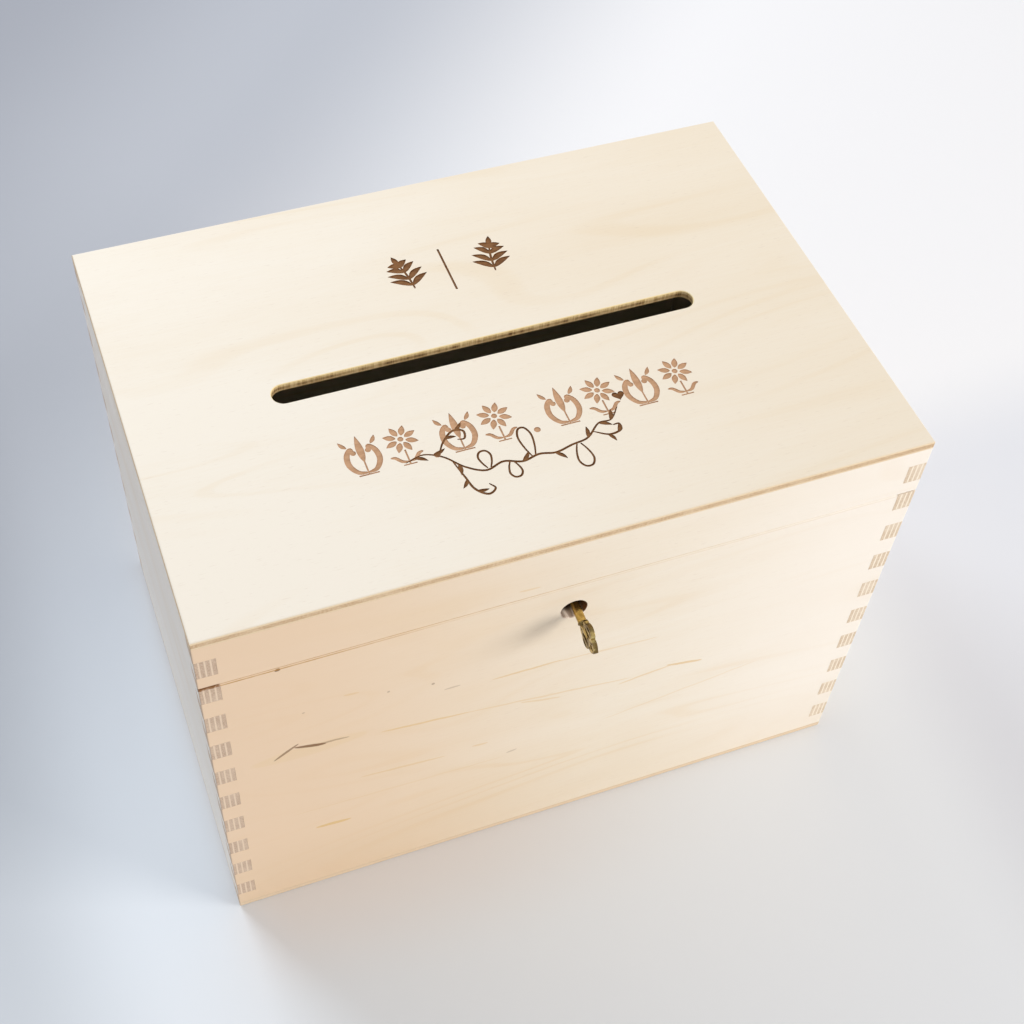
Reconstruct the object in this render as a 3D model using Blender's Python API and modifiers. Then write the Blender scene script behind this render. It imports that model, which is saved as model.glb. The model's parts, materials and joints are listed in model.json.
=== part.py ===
"""Wedding card box: finger-jointed birch plywood, with a slotted lid on two hinges and a small key lock.

Origin: the centre of the underside. +X is to the right, +Y to the back, +Z up. Units are metres.
The box is closed and unlocked, with its key in the lock.
"""

import math

import bmesh
import bpy
from mathutils import Matrix, Vector

MM = 0.001
GAP = 0.3 * MM  # between pieces that touch on the real box
PAST = 2 * MM  # how far a cutter runs past the face it starts from

# The box
WIDTH = 290 * MM
DEPTH = 200 * MM
WALL = 8 * MM
SHEET = 3.5 * MM
FINGER = 10.1 * MM
END_FINGER = 8.7 * MM
BASE_SIDE_FINGERS = 9
SAW_KERF = 3 * MM
SHEET_EASE = 0.8 * MM

BASE_TOP = SHEET + END_FINGER + (2 * BASE_SIDE_FINGERS - 1) * FINGER
LID_FRONT_FINGER = FINGER - SAW_KERF
LID_TOP = BASE_TOP + LID_FRONT_FINGER + FINGER + END_FINGER + SHEET
LID_BOTTOM = BASE_TOP + GAP
INNER_X = WIDTH / 2 - WALL
INNER_Y = DEPTH / 2 - WALL

# The card slot and the keyhole
SLOT_LENGTH = 177 * MM
SLOT_WIDTH = 9.8 * MM
KEYHOLE_RADIUS = 5.3 * MM
KEYHOLE_Z = BASE_TOP - 16.4 * MM

# The hinges, in the groove along the back
HINGE_X = 95 * MM
HINGE_LENGTH = 25 * MM
KNUCKLES = 3
BARREL_RADIUS = 1.7 * MM
PIN_RADIUS = 0.85 * MM
PIN_BORE_RADIUS = 1 * MM
LEAF = 0.9 * MM
AXIS_INSET = 2.2 * MM
AXIS_Y = DEPTH / 2 - AXIS_INSET
AXIS_Z = BASE_TOP + GAP / 2
LEAF_EDGE_Y = INNER_Y + GAP - AXIS_Y  # the leaf's inner edge, from the hinge axis
LID_OPENS = math.radians(100)
HINGE_SCREW_X = 7.5 * MM
HINGE_SCREW_Y = -3.7 * MM

# The lock, on the inner face of the front panel
LOCK_X = 1.4 * MM
LOCK_Y = -INNER_Y + 3.7 * MM  # the middle of the bolt's thickness
LOCK_Z = KEYHOLE_Z + 0.4 * MM
METAL = 0.8 * MM
CASE_HALF_WIDTH = 16.2 * MM
FLANGE_HALF_WIDTH = 21.5 * MM
CASE_LOW = LOCK_Z - 7 * MM
CASE_BACK = -INNER_Y + 7.2 * MM
PLATE_BACK = -INNER_Y + GAP + METAL
FLANGE_BACK = PLATE_BACK + GAP + METAL
LOCK_SCREW_X = 18.8 * MM
LOCK_SCREW_Z = (LOCK_Z - 3.5 * MM, LOCK_Z + 11 * MM)
STUD_RADIUS = 0.8 * MM
RIVET_RADIUS = 1.4 * MM
RIVET_HEIGHT = 0.5 * MM

# The bolt, whose outline is measured from the key's axis, and its guide stud
BOLT_THICKNESS = 2 * MM
BOLT_THROW = 4.2 * MM
BOLT_LOW = 3.6 * MM
BOLT_HIGH = 8.2 * MM
BOLT_RIGHT = 6 * MM
TALON_RIGHT = 2.2 * MM
POST_WIDTH = 2 * MM
HOOK_LOW = BASE_TOP - 5 * MM - LOCK_Z
HOOK_HIGH = BASE_TOP - 2.4 * MM - LOCK_Z
HOOK_CLEARANCE = 0.5 * MM  # from a hook's tip to its loop, unlocked
GUIDE_X = -6 * MM
GUIDE_Z = 5.9 * MM

# The spring, also measured from the key's axis
SPRING_LEFT = -14.6 * MM
SPRING_RIGHT = -5.9 * MM
SPRING_FOOT = -5.6 * MM
SPRING_CREST = BOLT_LOW - 0.7 * MM
SPRING_WIDTH = 2.4 * MM
SPRING_THICKNESS = 0.4 * MM
SPRING_STEPS = 10

# The strike plate on the lid, and its two loops
STRIKE_HALF_WIDTH = 17 * MM
STRIKE_TOP = LID_BOTTOM + 12 * MM
STRIKE_SCREW_X = 13 * MM
STRIKE_SCREW_Z = LID_BOTTOM + 7.5 * MM
LOOP_X = 7.5 * MM
LOOP_THICKNESS = 1.6 * MM
LOOP_LOW = BASE_TOP - 6.9 * MM
LOOP_SIDE = 1 * MM
LOOP_SILL = 1.2 * MM
LOOP_HEAD = BASE_TOP - 1.7 * MM
SLIDING_CLEARANCE = 0.4 * MM

# The key
KEY_DROOP = math.radians(6)
SHAFT_RADIUS = 1.75 * MM
SHAFT_BORE_RADIUS = 1.3 * MM
BIT_REACH = 5 * MM
BIT_THICKNESS = 1.4 * MM
BIT_LENGTH = 3 * MM
WARD_DEPTH = 1.2 * MM
WARD_START = 0.9 * MM
KEYWAY_CLEARANCE = 0.6 * MM
SHAFT_END = -2 * MM
BORE_END = 6 * MM
COLLAR_RADIUS = SHAFT_RADIUS + 0.6 * MM
COLLAR_LENGTH = 1.2 * MM
BOW_CENTRE = 24.9 * MM  # from the middle of the bit
BOW_LOBE_RADIUS = 3.1 * MM
BOW_LOBE_OFFSET = 3.5 * MM
BOW_HOLE_RADIUS = 1.6 * MM
BOW_MIDDLE_RADIUS = 2.4 * MM
BOW_THICKNESS = 1.8 * MM

# Screws: head radius, shank radius, length, sides
HINGE_SCREW = (1.35 * MM, 0.6 * MM, 8 * MM, 12)
LOCK_SCREW = (2 * MM, 0.9 * MM, 6.6 * MM, 12)
SCREW_CLEARANCE = 0.15 * MM
SLOT_HALF_WIDTH = 0.2  # of a driver slot, and its depth, as shares of the head's radius
SLOT_DEPTH = 0.3

ROUND = 24
TO_Y = Matrix(((1, 0, 0), (0, 0, 1), (0, 1, 0)))  # an outline in X and Z, thick along Y
TO_X = Matrix(((0, 0, 1), (1, 0, 0), (0, 1, 0)))  # an outline in Y and Z, thick along X


# ---------------------------------------------------------------- tools


def collection(name):
    made = bpy.data.collections.new(name)
    bpy.context.scene.collection.children.link(made)
    return made


def material(name, colour, roughness, metallic=0.0):
    made = bpy.data.materials.new(name)
    made.use_nodes = True
    shader = made.node_tree.nodes["Principled BSDF"]
    shader.inputs["Base Color"].default_value = (*colour, 1)
    shader.inputs["Roughness"].default_value = roughness
    shader.inputs["Metallic"].default_value = metallic
    return made


def add_piece(name, mesh, finish, at=(0, 0, 0), turn=(0, 0, 0)):
    piece = bpy.data.objects.new(name, mesh)
    piece.location = at
    piece.rotation_euler = turn
    if not mesh.materials:
        mesh.materials.append(finish)
    PARTS.objects.link(piece)
    return piece


def add_helper(name, mesh, at=(0, 0, 0), turn=(0, 0, 0)):
    """A shape that only cuts a piece or joins one."""
    helper = bpy.data.objects.new(name, mesh)
    helper.location = at
    helper.rotation_euler = turn
    helper.hide_render = True
    helper.display_type = "WIRE"
    HELPERS.objects.link(helper)
    return helper


def boolean(piece, helper, operation):
    made = piece.modifiers.new(helper.name, "BOOLEAN")
    made.operation = operation
    made.object = helper
    made.solver = "EXACT"
    return piece


def cut(piece, *cutters):
    for cutter in cutters:
        boolean(piece, cutter, "DIFFERENCE")
    return piece


def join(piece, *others):
    for other in others:
        boolean(piece, other, "UNION")
    return piece


def mesh_from(shape, name):
    mesh = bpy.data.meshes.new(name)
    shape.to_mesh(mesh)
    shape.free()
    return mesh


def boxes(name, *corners):
    """Separate boxes, each from its low corner and its high one."""
    shape = bmesh.new()
    for low, high in corners:
        low, high = Vector(low), Vector(high)
        place = Matrix.Translation((low + high) / 2) @ Matrix.Diagonal((*(high - low), 1))
        bmesh.ops.create_cube(shape, size=1, matrix=place)
    return mesh_from(shape, name)


def rods(name, *ends, radius, sides=ROUND):
    """Separate round bars, each from one point to another."""
    shape = bmesh.new()
    for start, end in ends:
        start, end = Vector(start), Vector(end)
        along = end - start
        turn = along.to_track_quat("Z", "Y").to_matrix().to_4x4()
        place = Matrix.Translation((start + end) / 2) @ turn
        size = {"radius1": radius, "radius2": radius, "depth": along.length}
        bmesh.ops.create_cone(shape, cap_ends=True, segments=sides, matrix=place, **size)
    return shade_round(mesh_from(shape, name))


def shade_round(mesh):
    mesh.shade_smooth()
    mesh.set_sharp_from_angle(angle=math.radians(35))
    return mesh


def settled_mesh(piece, name):
    """The piece's mesh with its modifiers in it, welded. The piece itself is removed."""
    graph = bpy.context.evaluated_depsgraph_get()
    mesh = bpy.data.meshes.new_from_object(piece.evaluated_get(graph), depsgraph=graph)
    mesh.name = name
    shape = bmesh.new()
    shape.from_mesh(mesh)
    bmesh.ops.remove_doubles(shape, verts=shape.verts, dist=0.001 * MM)
    shape.to_mesh(mesh)
    shape.free()
    bpy.data.objects.remove(piece)
    return mesh


def outline(name, loops, thickness, facing):
    """A flat shape of this thickness. The loops after the first are holes in it."""
    flat = bpy.data.curves.new(name, "CURVE")
    flat.dimensions = "2D"
    flat.fill_mode = "BOTH"
    flat.extrude = thickness / 2
    for points in loops:
        spline = flat.splines.new("POLY")
        spline.points.add(len(points) - 1)
        for place, (across, up) in zip(spline.points, points):
            place.co = (across, up, 0, 1)
        spline.use_cyclic_u = True
    carrier = bpy.data.objects.new(name, flat)
    HELPERS.objects.link(carrier)
    mesh = settled_mesh(carrier, name)
    mesh.transform(facing.to_4x4())
    shape = bmesh.new()
    shape.from_mesh(mesh)
    bmesh.ops.recalc_face_normals(shape, faces=shape.faces)
    shape.to_mesh(mesh)
    shape.free()
    return mesh


def stadium(length, width, steps=12):
    """A slot with round ends, about its centre."""
    radius = width / 2
    points = []
    for side in (1, -1):
        for step in range(steps + 1):
            angle = side * math.pi / 2 - math.pi * step / steps
            points.append(
                (side * (length / 2 - radius) + radius * math.cos(angle), radius * math.sin(angle))
            )
    return points


def rectangle(low, high):
    return [low, (high[0], low[1]), high, (low[0], high[1])]


def turned(name, profile, sides):
    """A turned solid about Z. The profile is (radius, height) from the top of the axis to the bottom."""
    edges = [(i, i + 1) for i in range(len(profile) - 1)]
    mesh = bpy.data.meshes.new(name)
    mesh.from_pydata([(radius, 0, height) for radius, height in profile], edges, [])
    lathe = bpy.data.objects.new(name, mesh)
    HELPERS.objects.link(lathe)
    spin = lathe.modifiers.new("spin", "SCREW")
    spin.steps = spin.render_steps = sides
    spin.use_merge_vertices = True
    spin.merge_threshold = 0.01 * MM
    return shade_round(settled_mesh(lathe, name))


def screw_profile(size, grown=0.0):
    """A countersunk screw that points down, with its head's face at the origin."""
    head, shank, length, _ = size
    cone = head - shank
    top = PAST if grown else 0.0
    return [
        (0, top),
        (head + grown, top),
        (head + grown, 0) if grown else (head, -0.1 * MM),
        (shank + grown, -cone - (0 if grown else 0.1 * MM)),
        (shank + grown, -length + (0 if grown else 1.5 * MM)),
        (0, -length - grown),
    ]


def screw(name, size):
    """A screw's mesh, with a straight slot in its head."""
    head = size[0]
    body = bpy.data.objects.new(name, turned(name, screw_profile(size), size[3]))
    HELPERS.objects.link(body)
    low = (-SLOT_HALF_WIDTH * head, -2 * head, -SLOT_DEPTH * head)
    slot = boxes(name + "_driver_slot", (low, (SLOT_HALF_WIDTH * head, 2 * head, PAST)))
    cutter = add_helper(name + "_driver_slot", slot)
    made = settled_mesh(cut(body, cutter), name)
    bpy.data.objects.remove(cutter)
    return made


def screw_hole(name, size):
    return turned(name, screw_profile(size, SCREW_CLEARANCE), size[3])


# ---------------------------------------------------------------- the wooden box


def finger_heights():
    """(low, high) of the front and back panels' fingers, and of the side panels', from the bottom up."""
    front, side = [], []
    height = SHEET
    for number in range(2 * BASE_SIDE_FINGERS):
        tall = END_FINGER if number == 0 else FINGER
        (side if number % 2 else front).append((height, height + tall))
        height += tall
    for place, tall in ((front, LID_FRONT_FINGER), (side, FINGER), (front, END_FINGER)):
        place.append((height, height + tall))
        height += tall
    return front, side


def finger_cutters():
    """Two combs. One takes the side panels' fingers out of the front and back, the other the reverse."""
    front, side = finger_heights()
    half_x, half_y = WIDTH / 2 + PAST, DEPTH / 2 + PAST
    for_front, for_side = [], []
    for low, high in side:
        for sign in (-1, 1):
            ends = sorted((sign * (INNER_X - GAP), sign * half_x))
            corner_low = (ends[0], -half_y, low - GAP / 2)
            for_front.append((corner_low, (ends[1], half_y, high + GAP / 2)))
    for low, high in front:
        for sign in (-1, 1):
            ends = sorted((sign * (INNER_Y - GAP), sign * half_y))
            corner_low = (-half_x, ends[0], low - GAP / 2)
            for_side.append((corner_low, (half_x, ends[1], high + GAP / 2)))
    return (
        add_helper("side_finger_sockets", boxes("side_finger_sockets", *for_front)),
        add_helper("front_finger_sockets", boxes("front_finger_sockets", *for_side)),
    )


def back_groove_cutter():
    """The chamfers along the back edges of lid and base. Their faces meet when the lid is open."""
    apex = AXIS_Y - GAP / 2
    run = DEPTH / 2 + PAST - apex
    rise = run * math.tan(LID_OPENS / 2)
    corners = [(apex, AXIS_Z), (apex + run, AXIS_Z - rise), (apex + run, AXIS_Z + rise)]
    return add_helper("back_groove", outline("back_groove", [corners], WIDTH + 2 * PAST, TO_X))


def hinge_mortise_cutters():
    half = HINGE_LENGTH / 2 + GAP
    barrel_front = AXIS_Y - BARREL_RADIUS - GAP
    leaf_recess, barrel_recess = GAP / 2 + LEAF + GAP, BARREL_RADIUS + GAP
    leaves, barrels = [], []
    for x in (-HINGE_X, HINGE_X):
        leaf_low = (x - half, INNER_Y - PAST, AXIS_Z - leaf_recess)
        leaves.append((leaf_low, (x + half, barrel_front + 0.1 * MM, AXIS_Z + leaf_recess)))
        barrel_low = (x - half, barrel_front, AXIS_Z - barrel_recess)
        barrels.append((barrel_low, (x + half, DEPTH / 2 + PAST, AXIS_Z + barrel_recess)))
    return (
        add_helper("leaf_mortises", boxes("leaf_mortises", *leaves)),
        add_helper("barrel_mortises", boxes("barrel_mortises", *barrels)),
    )


def hinge_pilot_cutter():
    """Pilot holes for the hinge screws, down into the base and up into the lid."""
    reach = HINGE_SCREW[2] + GAP
    ends = []
    for x in (-HINGE_X, HINGE_X):
        for side in (-1, 1):
            at = Vector((x + side * HINGE_SCREW_X, AXIS_Y + HINGE_SCREW_Y, AXIS_Z))
            ends.append((at - Vector((0, 0, reach)), at + Vector((0, 0, reach))))
    holes = rods("hinge_pilot_holes", *ends, radius=HINGE_SCREW[1] + SCREW_CLEARANCE, sides=12)
    return add_helper("hinge_pilot_holes", holes)


def front_pilot_cutter(name, places, face_y):
    """Pilot holes for screws that are driven towards the front, with their heads at Y = face_y."""
    reach = LOCK_SCREW[2] + GAP
    ends = [((x, face_y, z), (x, face_y - reach, z)) for x, z in places]
    return add_helper(name, rods(name, *ends, radius=LOCK_SCREW[1] + SCREW_CLEARANCE, sides=12))


def lock_screw_places():
    return [(LOCK_X + side * LOCK_SCREW_X, z) for z in LOCK_SCREW_Z for side in (-1, 1)]


def strike_screw_places():
    return [(LOCK_X + side * STRIKE_SCREW_X, STRIKE_SCREW_Z) for side in (-1, 1)]


def wall(name, low, high, *cutters):
    return cut(add_piece(name, boxes(name, (low, high)), PLYWOOD), *cutters)


def keyhole_cutter():
    ends = ((0, -DEPTH / 2 - PAST, KEYHOLE_Z), (0, -INNER_Y + PAST, KEYHOLE_Z))
    return add_helper("keyhole", rods("keyhole", ends, radius=KEYHOLE_RADIUS, sides=32))


def make_walls():
    """The base's four panels and the lid's four rails. Returns the rails."""
    side_sockets, front_sockets = finger_cutters()
    groove = back_groove_cutter()
    hinge_recesses = [*hinge_mortise_cutters(), hinge_pilot_cutter()]
    lock_pilots = front_pilot_cutter("lock_pilot_holes", lock_screw_places(), FLANGE_BACK)
    strike_pilots = front_pilot_cutter("strike_pilot_holes", strike_screw_places(), PLATE_BACK)
    half_x, half_y = WIDTH / 2, DEPTH / 2

    def four(prefix, kind, low, high, front_holes):
        front, back = f"{prefix}front_{kind}", f"{prefix}back_{kind}"
        left, right = f"{prefix}left_{kind}", f"{prefix}right_{kind}"
        front_high, back_low = (half_x, -INNER_Y, high), (-half_x, INNER_Y, low)
        left_high, right_low = (-INNER_X, half_y, high), (INNER_X, -half_y, low)
        far_low, far_high = (-half_x, -half_y, low), (half_x, half_y, high)
        return [
            wall(front, far_low, front_high, side_sockets, *front_holes),
            wall(back, back_low, far_high, side_sockets, groove, *hinge_recesses),
            wall(left, far_low, left_high, front_sockets, groove),
            wall(right, right_low, far_high, front_sockets, groove),
        ]

    four("", "panel", SHEET + GAP, BASE_TOP, [keyhole_cutter(), lock_pilots])
    return four("lid_", "rail", LID_BOTTOM, LID_TOP - SHEET - GAP, [strike_pilots])


def make_bottom_panel():
    corners = ((-WIDTH / 2, -DEPTH / 2, 0), (WIDTH / 2, DEPTH / 2, SHEET))
    add_piece("bottom_panel", boxes("bottom_panel", corners), PLYWOOD)


def make_lid_top_panel():
    """The top sheet, with its upper edges eased and the card slot through it."""
    low = (-WIDTH / 2, -DEPTH / 2, LID_TOP - SHEET)
    sheet = boxes("lid_top_panel", (low, (WIDTH / 2, DEPTH / 2, LID_TOP)))
    shape = bmesh.new()
    shape.from_mesh(sheet)
    middle = LID_TOP - SHEET / 2
    upper = [edge for edge in shape.edges if all(corner.co.z > middle for corner in edge.verts)]
    bmesh.ops.bevel(shape, geom=upper, offset=SHEET_EASE, segments=2, profile=0.5, affect="EDGES")
    shape.to_mesh(sheet)
    shape.free()
    panel = add_piece("lid_top_panel", sheet, PLYWOOD)
    slot = outline("card_slot", [stadium(SLOT_LENGTH, SLOT_WIDTH)], SHEET + 2 * PAST, Matrix.Identity(3))
    return cut(panel, add_helper("card_slot", slot, at=(0, 0, middle)))


# ---------------------------------------------------------------- hinges


def knuckle_spans():
    """The (low, high) X of each knuckle, with a gap between neighbours."""
    pitch = (HINGE_LENGTH + GAP) / KNUCKLES
    start = -HINGE_LENGTH / 2
    return [(start + n * pitch, start + (n + 1) * pitch - GAP) for n in range(KNUCKLES)]


def leaf_mesh(name, knuckles, up):
    """One leaf about the hinge axis: plate, rolled knuckles, the pin's bore and two countersinks."""
    flat = sorted((up * GAP / 2, up * (GAP / 2 + LEAF)))
    clear = -BARREL_RADIUS - GAP
    corners = ((-HINGE_LENGTH / 2, LEAF_EDGE_Y, flat[0]), (HINGE_LENGTH / 2, clear, flat[1]))
    plate = bpy.data.objects.new(name, boxes(name, corners))
    HELPERS.objects.link(plate)
    spans = [knuckle_spans()[n] for n in knuckles]
    necks = boxes(name + "_necks", *(((a, clear - GAP, flat[0]), (b, 0, flat[1])) for a, b in spans))
    barrels = rods(name + "_knuckles", *(((a, 0, 0), (b, 0, 0)) for a, b in spans), radius=BARREL_RADIUS)
    bore = rods(name + "_bore", ((-HINGE_LENGTH, 0, 0), (HINGE_LENGTH, 0, 0)), radius=PIN_BORE_RADIUS)
    helpers = [add_helper(mesh.name, mesh) for mesh in (necks, barrels, bore)]
    join(plate, *helpers[:2])
    cut(plate, helpers[2])
    countersink = screw_hole(name + "_countersink", HINGE_SCREW)
    for side in (-1, 1):
        at = (side * HINGE_SCREW_X, HINGE_SCREW_Y, up * GAP / 2)
        turn = (math.pi if up > 0 else 0, 0, 0)
        helpers.append(add_helper(f"{name}_countersink_{side}", countersink, at, turn))
        cut(plate, helpers[-1])
    made = shade_round(settled_mesh(plate, name))
    for helper in helpers:
        bpy.data.objects.remove(helper)
    return made


def make_hinges():
    """Returns the pieces that turn with the lid."""
    base_leaf = leaf_mesh("hinge_base_leaf", (0, 2), up=-1)
    lid_leaf = leaf_mesh("hinge_lid_leaf", (1,), up=1)
    half = HINGE_LENGTH / 2
    pin = rods("hinge_pin", ((-half, 0, 0), (half, 0, 0)), radius=PIN_RADIUS)
    screw_shape = screw("hinge_screw", HINGE_SCREW)
    on_lid = []
    for side, x in (("left", -HINGE_X), ("right", HINGE_X)):
        axis_point = Vector((x, AXIS_Y, AXIS_Z))
        add_piece(f"hinge_{side}_base_leaf", base_leaf, BRASS, axis_point)
        add_piece(f"hinge_{side}_pin", pin, BRASS, axis_point)
        on_lid.append(add_piece(f"hinge_{side}_lid_leaf", lid_leaf, BRASS, axis_point))
        for number, offset in enumerate((-HINGE_SCREW_X, HINGE_SCREW_X), 1):
            head = axis_point + Vector((offset, HINGE_SCREW_Y, 0))
            rise = Vector((0, 0, GAP / 2))
            add_piece(f"hinge_{side}_base_screw_{number}", screw_shape, BRASS, head - rise)
            name = f"hinge_{side}_lid_screw_{number}"
            on_lid.append(add_piece(name, screw_shape, BRASS, head + rise, (math.pi, 0, 0)))
    return on_lid


# ---------------------------------------------------------------- the lock


def countersinks(name, places, face_y):
    """Countersunk holes for screws whose heads lie in the plane Y = face_y, pointing to the front."""
    shape = screw_hole(name, LOCK_SCREW)
    turn = (-math.pi / 2, 0, 0)
    return [
        add_helper(f"{name}_{number}", shape, (x, face_y, z), turn)
        for number, (x, z) in enumerate(places, 1)
    ]


def keyway_cutter():
    """The hole for the shaft, and a slit for the bit in each of its two places, unlocked and locked."""
    reach = BIT_REACH + KEYWAY_CLEARANCE
    slit = BIT_THICKNESS / 2 + SLIDING_CLEARANCE
    near, far = PLATE_BACK - METAL - PAST, PLATE_BACK + GAP / 2
    ends = ((LOCK_X, near, LOCK_Z), (LOCK_X, far, LOCK_Z))
    round_part = rods("keyway", ends, radius=SHAFT_RADIUS + KEYWAY_CLEARANCE)
    upright = ((LOCK_X - slit, near, LOCK_Z), (LOCK_X + slit, far, LOCK_Z + reach))
    across = ((LOCK_X, near, LOCK_Z - slit), (LOCK_X + reach, far, LOCK_Z + slit))
    return [
        add_helper("keyway", round_part),
        add_helper("keyway_upright", boxes("keyway_upright", upright)),
        add_helper("keyway_across", boxes("keyway_across", across)),
    ]


def make_lock_plate(screws):
    """The plate against the wood, folded over at the top, with slots there for the lid's loops."""
    top = BASE_TOP - GAP
    upright_low = (LOCK_X - FLANGE_HALF_WIDTH, PLATE_BACK - METAL, CASE_LOW)
    upright = (upright_low, (LOCK_X + FLANGE_HALF_WIDTH, PLATE_BACK, top))
    fold_low = (LOCK_X - FLANGE_HALF_WIDTH, PLATE_BACK - METAL / 2, top - METAL)
    fold = (fold_low, (LOCK_X + FLANGE_HALF_WIDTH, CASE_BACK, top))
    slots = []
    for side in (-1, 1):
        x = LOCK_X + side * LOOP_X
        reach = LOOP_THICKNESS / 2 + SLIDING_CLEARANCE
        slot_low = (x - reach, PLATE_BACK, top - METAL - PAST)
        slots.append((slot_low, (x + reach, CASE_BACK - METAL, top + PAST)))
    plate = add_piece("lock_plate", boxes("lock_plate", upright), ANTIQUE_BRASS)
    join(plate, add_helper("lock_plate_fold", boxes("lock_plate_fold", fold)))
    cut(plate, add_helper("loop_slots", boxes("loop_slots", *slots)), *keyway_cutter(), screws)


def make_lock_cover(studs):
    """The pressed cover over the mechanism, with a flange round it and the studs' rivet holes."""
    front = PLATE_BACK + GAP
    high = BASE_TOP - GAP - METAL - GAP
    flange_low = (LOCK_X - FLANGE_HALF_WIDTH, front, CASE_LOW)
    flange = (flange_low, (LOCK_X + FLANGE_HALF_WIDTH, front + METAL, high))
    box_low = (LOCK_X - CASE_HALF_WIDTH, front + METAL / 2, CASE_LOW)
    box = (box_low, (LOCK_X + CASE_HALF_WIDTH, CASE_BACK, high))
    hollow_low = (LOCK_X - CASE_HALF_WIDTH + METAL, front - PAST, CASE_LOW + METAL)
    hollow = (hollow_low, (LOCK_X + CASE_HALF_WIDTH - METAL, CASE_BACK - METAL, high + PAST))
    cover = add_piece("lock_cover", boxes("lock_cover", flange), ANTIQUE_BRASS)
    join(cover, add_helper("lock_cover_box", boxes("lock_cover_box", box)))
    cut(cover, add_helper("lock_cover_hollow", boxes("lock_cover_hollow", hollow)))
    ends = [((x, CASE_BACK - METAL - PAST, z), (x, CASE_BACK + PAST, z)) for x, z in studs]
    holes = rods("rivet_holes", *ends, radius=STUD_RADIUS + SCREW_CLEARANCE)
    cut(cover, add_helper("rivet_holes", holes))
    cut(cover, *countersinks("cover_countersink", lock_screw_places(), FLANGE_BACK))


def make_studs(studs):
    """The drill pin that the key's hollow end turns on, and the stud that guides the bolt."""
    reach = CASE_BACK - PLATE_BACK - GAP
    profile = [
        (0, GAP / 2 + RIVET_HEIGHT),
        (RIVET_RADIUS, GAP / 2 + RIVET_HEIGHT),
        (RIVET_RADIUS, GAP / 2),
        (STUD_RADIUS, GAP / 2),
        (STUD_RADIUS, -reach),
        (0, -reach),
    ]
    shape = turned("lock_stud", profile, ROUND)
    for name, (x, z) in zip(("lock_drill_pin", "bolt_guide_stud"), studs):
        add_piece(name, shape, STEEL, (x, CASE_BACK, z), (-math.pi / 2, 0, 0))


def make_bolt():
    """The sliding bolt: a bar with a talon for the key's bit, a slot for its guide and two hooks."""
    talon_left, talon_top = -BIT_THICKNESS / 2 - GAP, BIT_REACH + KEYWAY_CLEARANCE
    tips = [side * LOOP_X - LOOP_THICKNESS / 2 - HOOK_CLEARANCE for side in (-1, 1)]
    posts = [tip + HOOK_CLEARANCE - BOLT_THROW - GAP for tip in tips]
    left = posts[0] - POST_WIDTH
    edge = [(left, BOLT_LOW), (talon_left, BOLT_LOW), (talon_left, talon_top), (TALON_RIGHT, talon_top)]
    edge += [(TALON_RIGHT, BOLT_LOW), (BOLT_RIGHT, BOLT_LOW), (BOLT_RIGHT, BOLT_HIGH)]
    for post, tip in zip(reversed(posts), reversed(tips)):
        edge += [(post, BOLT_HIGH), (post, HOOK_LOW), (tip, HOOK_LOW), (tip, HOOK_HIGH)]
        edge += [(post - POST_WIDTH, HOOK_HIGH)]
        if post - POST_WIDTH > left:
            edge += [(post - POST_WIDTH, BOLT_HIGH)]
    reach = STUD_RADIUS + GAP
    middle = GUIDE_X - BOLT_THROW / 2
    guide = [(x + middle, z + GUIDE_Z) for x, z in stadium(BOLT_THROW + 2 * reach, 2 * reach, 6)]
    mesh = outline("lock_bolt", [edge, guide], BOLT_THICKNESS, TO_Y)
    return add_piece("lock_bolt", mesh, STEEL, (LOCK_X, LOCK_Y, LOCK_Z))


def make_spring():
    """A bowed strip that bears on the bolt's lower edge."""
    shape = bmesh.new()
    rows = []
    for step in range(SPRING_STEPS + 1):
        share = step / SPRING_STEPS
        x = SPRING_LEFT + (SPRING_RIGHT - SPRING_LEFT) * share
        z = SPRING_FOOT + (SPRING_CREST - SPRING_FOOT) * math.sin(math.pi * share)
        rows.append([shape.verts.new((x, y, z)) for y in (-SPRING_WIDTH / 2, SPRING_WIDTH / 2)])
    for (a, b), (c, d) in zip(rows, rows[1:]):
        shape.faces.new((a, b, d, c))
    spring = add_piece("bolt_spring", mesh_from(shape, "bolt_spring"), STEEL, (LOCK_X, LOCK_Y, LOCK_Z))
    solid = spring.modifiers.new("thickness", "SOLIDIFY")
    solid.thickness = SPRING_THICKNESS
    solid.offset = 0


def make_strike():
    """The plate on the lid's front rail, with two loops that hang into the lock."""
    low = LID_BOTTOM + GAP
    near, far = LOCK_X - STRIKE_HALF_WIDTH, LOCK_X + STRIKE_HALF_WIDTH
    loop_front, loop_back = PLATE_BACK + GAP, CASE_BACK - METAL - SLIDING_CLEARANCE
    upright = boxes("strike_plate", ((near, PLATE_BACK - METAL, low), (far, PLATE_BACK, STRIKE_TOP)))
    foot = boxes("strike_foot", ((near, PLATE_BACK - METAL / 2, low), (far, loop_back, low + METAL)))
    outer = rectangle((loop_front, LOOP_LOW), (loop_back, low + METAL / 2))
    inner = rectangle((loop_front + LOOP_SIDE, LOOP_LOW + LOOP_SILL), (loop_back - LOOP_SIDE, LOOP_HEAD))
    loop = outline("strike_loop", [outer, inner], LOOP_THICKNESS, TO_X)
    strike = add_piece("strike_plate", upright, ANTIQUE_BRASS)
    join(strike, add_helper("strike_foot", foot))
    for number, side in enumerate((-1, 1), 1):
        at = (LOCK_X + side * LOOP_X, 0, 0)
        join(strike, add_helper(f"strike_loop_{number}", loop, at))
    cut(strike, *countersinks("strike_countersink", strike_screw_places(), PLATE_BACK))
    return strike


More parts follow.
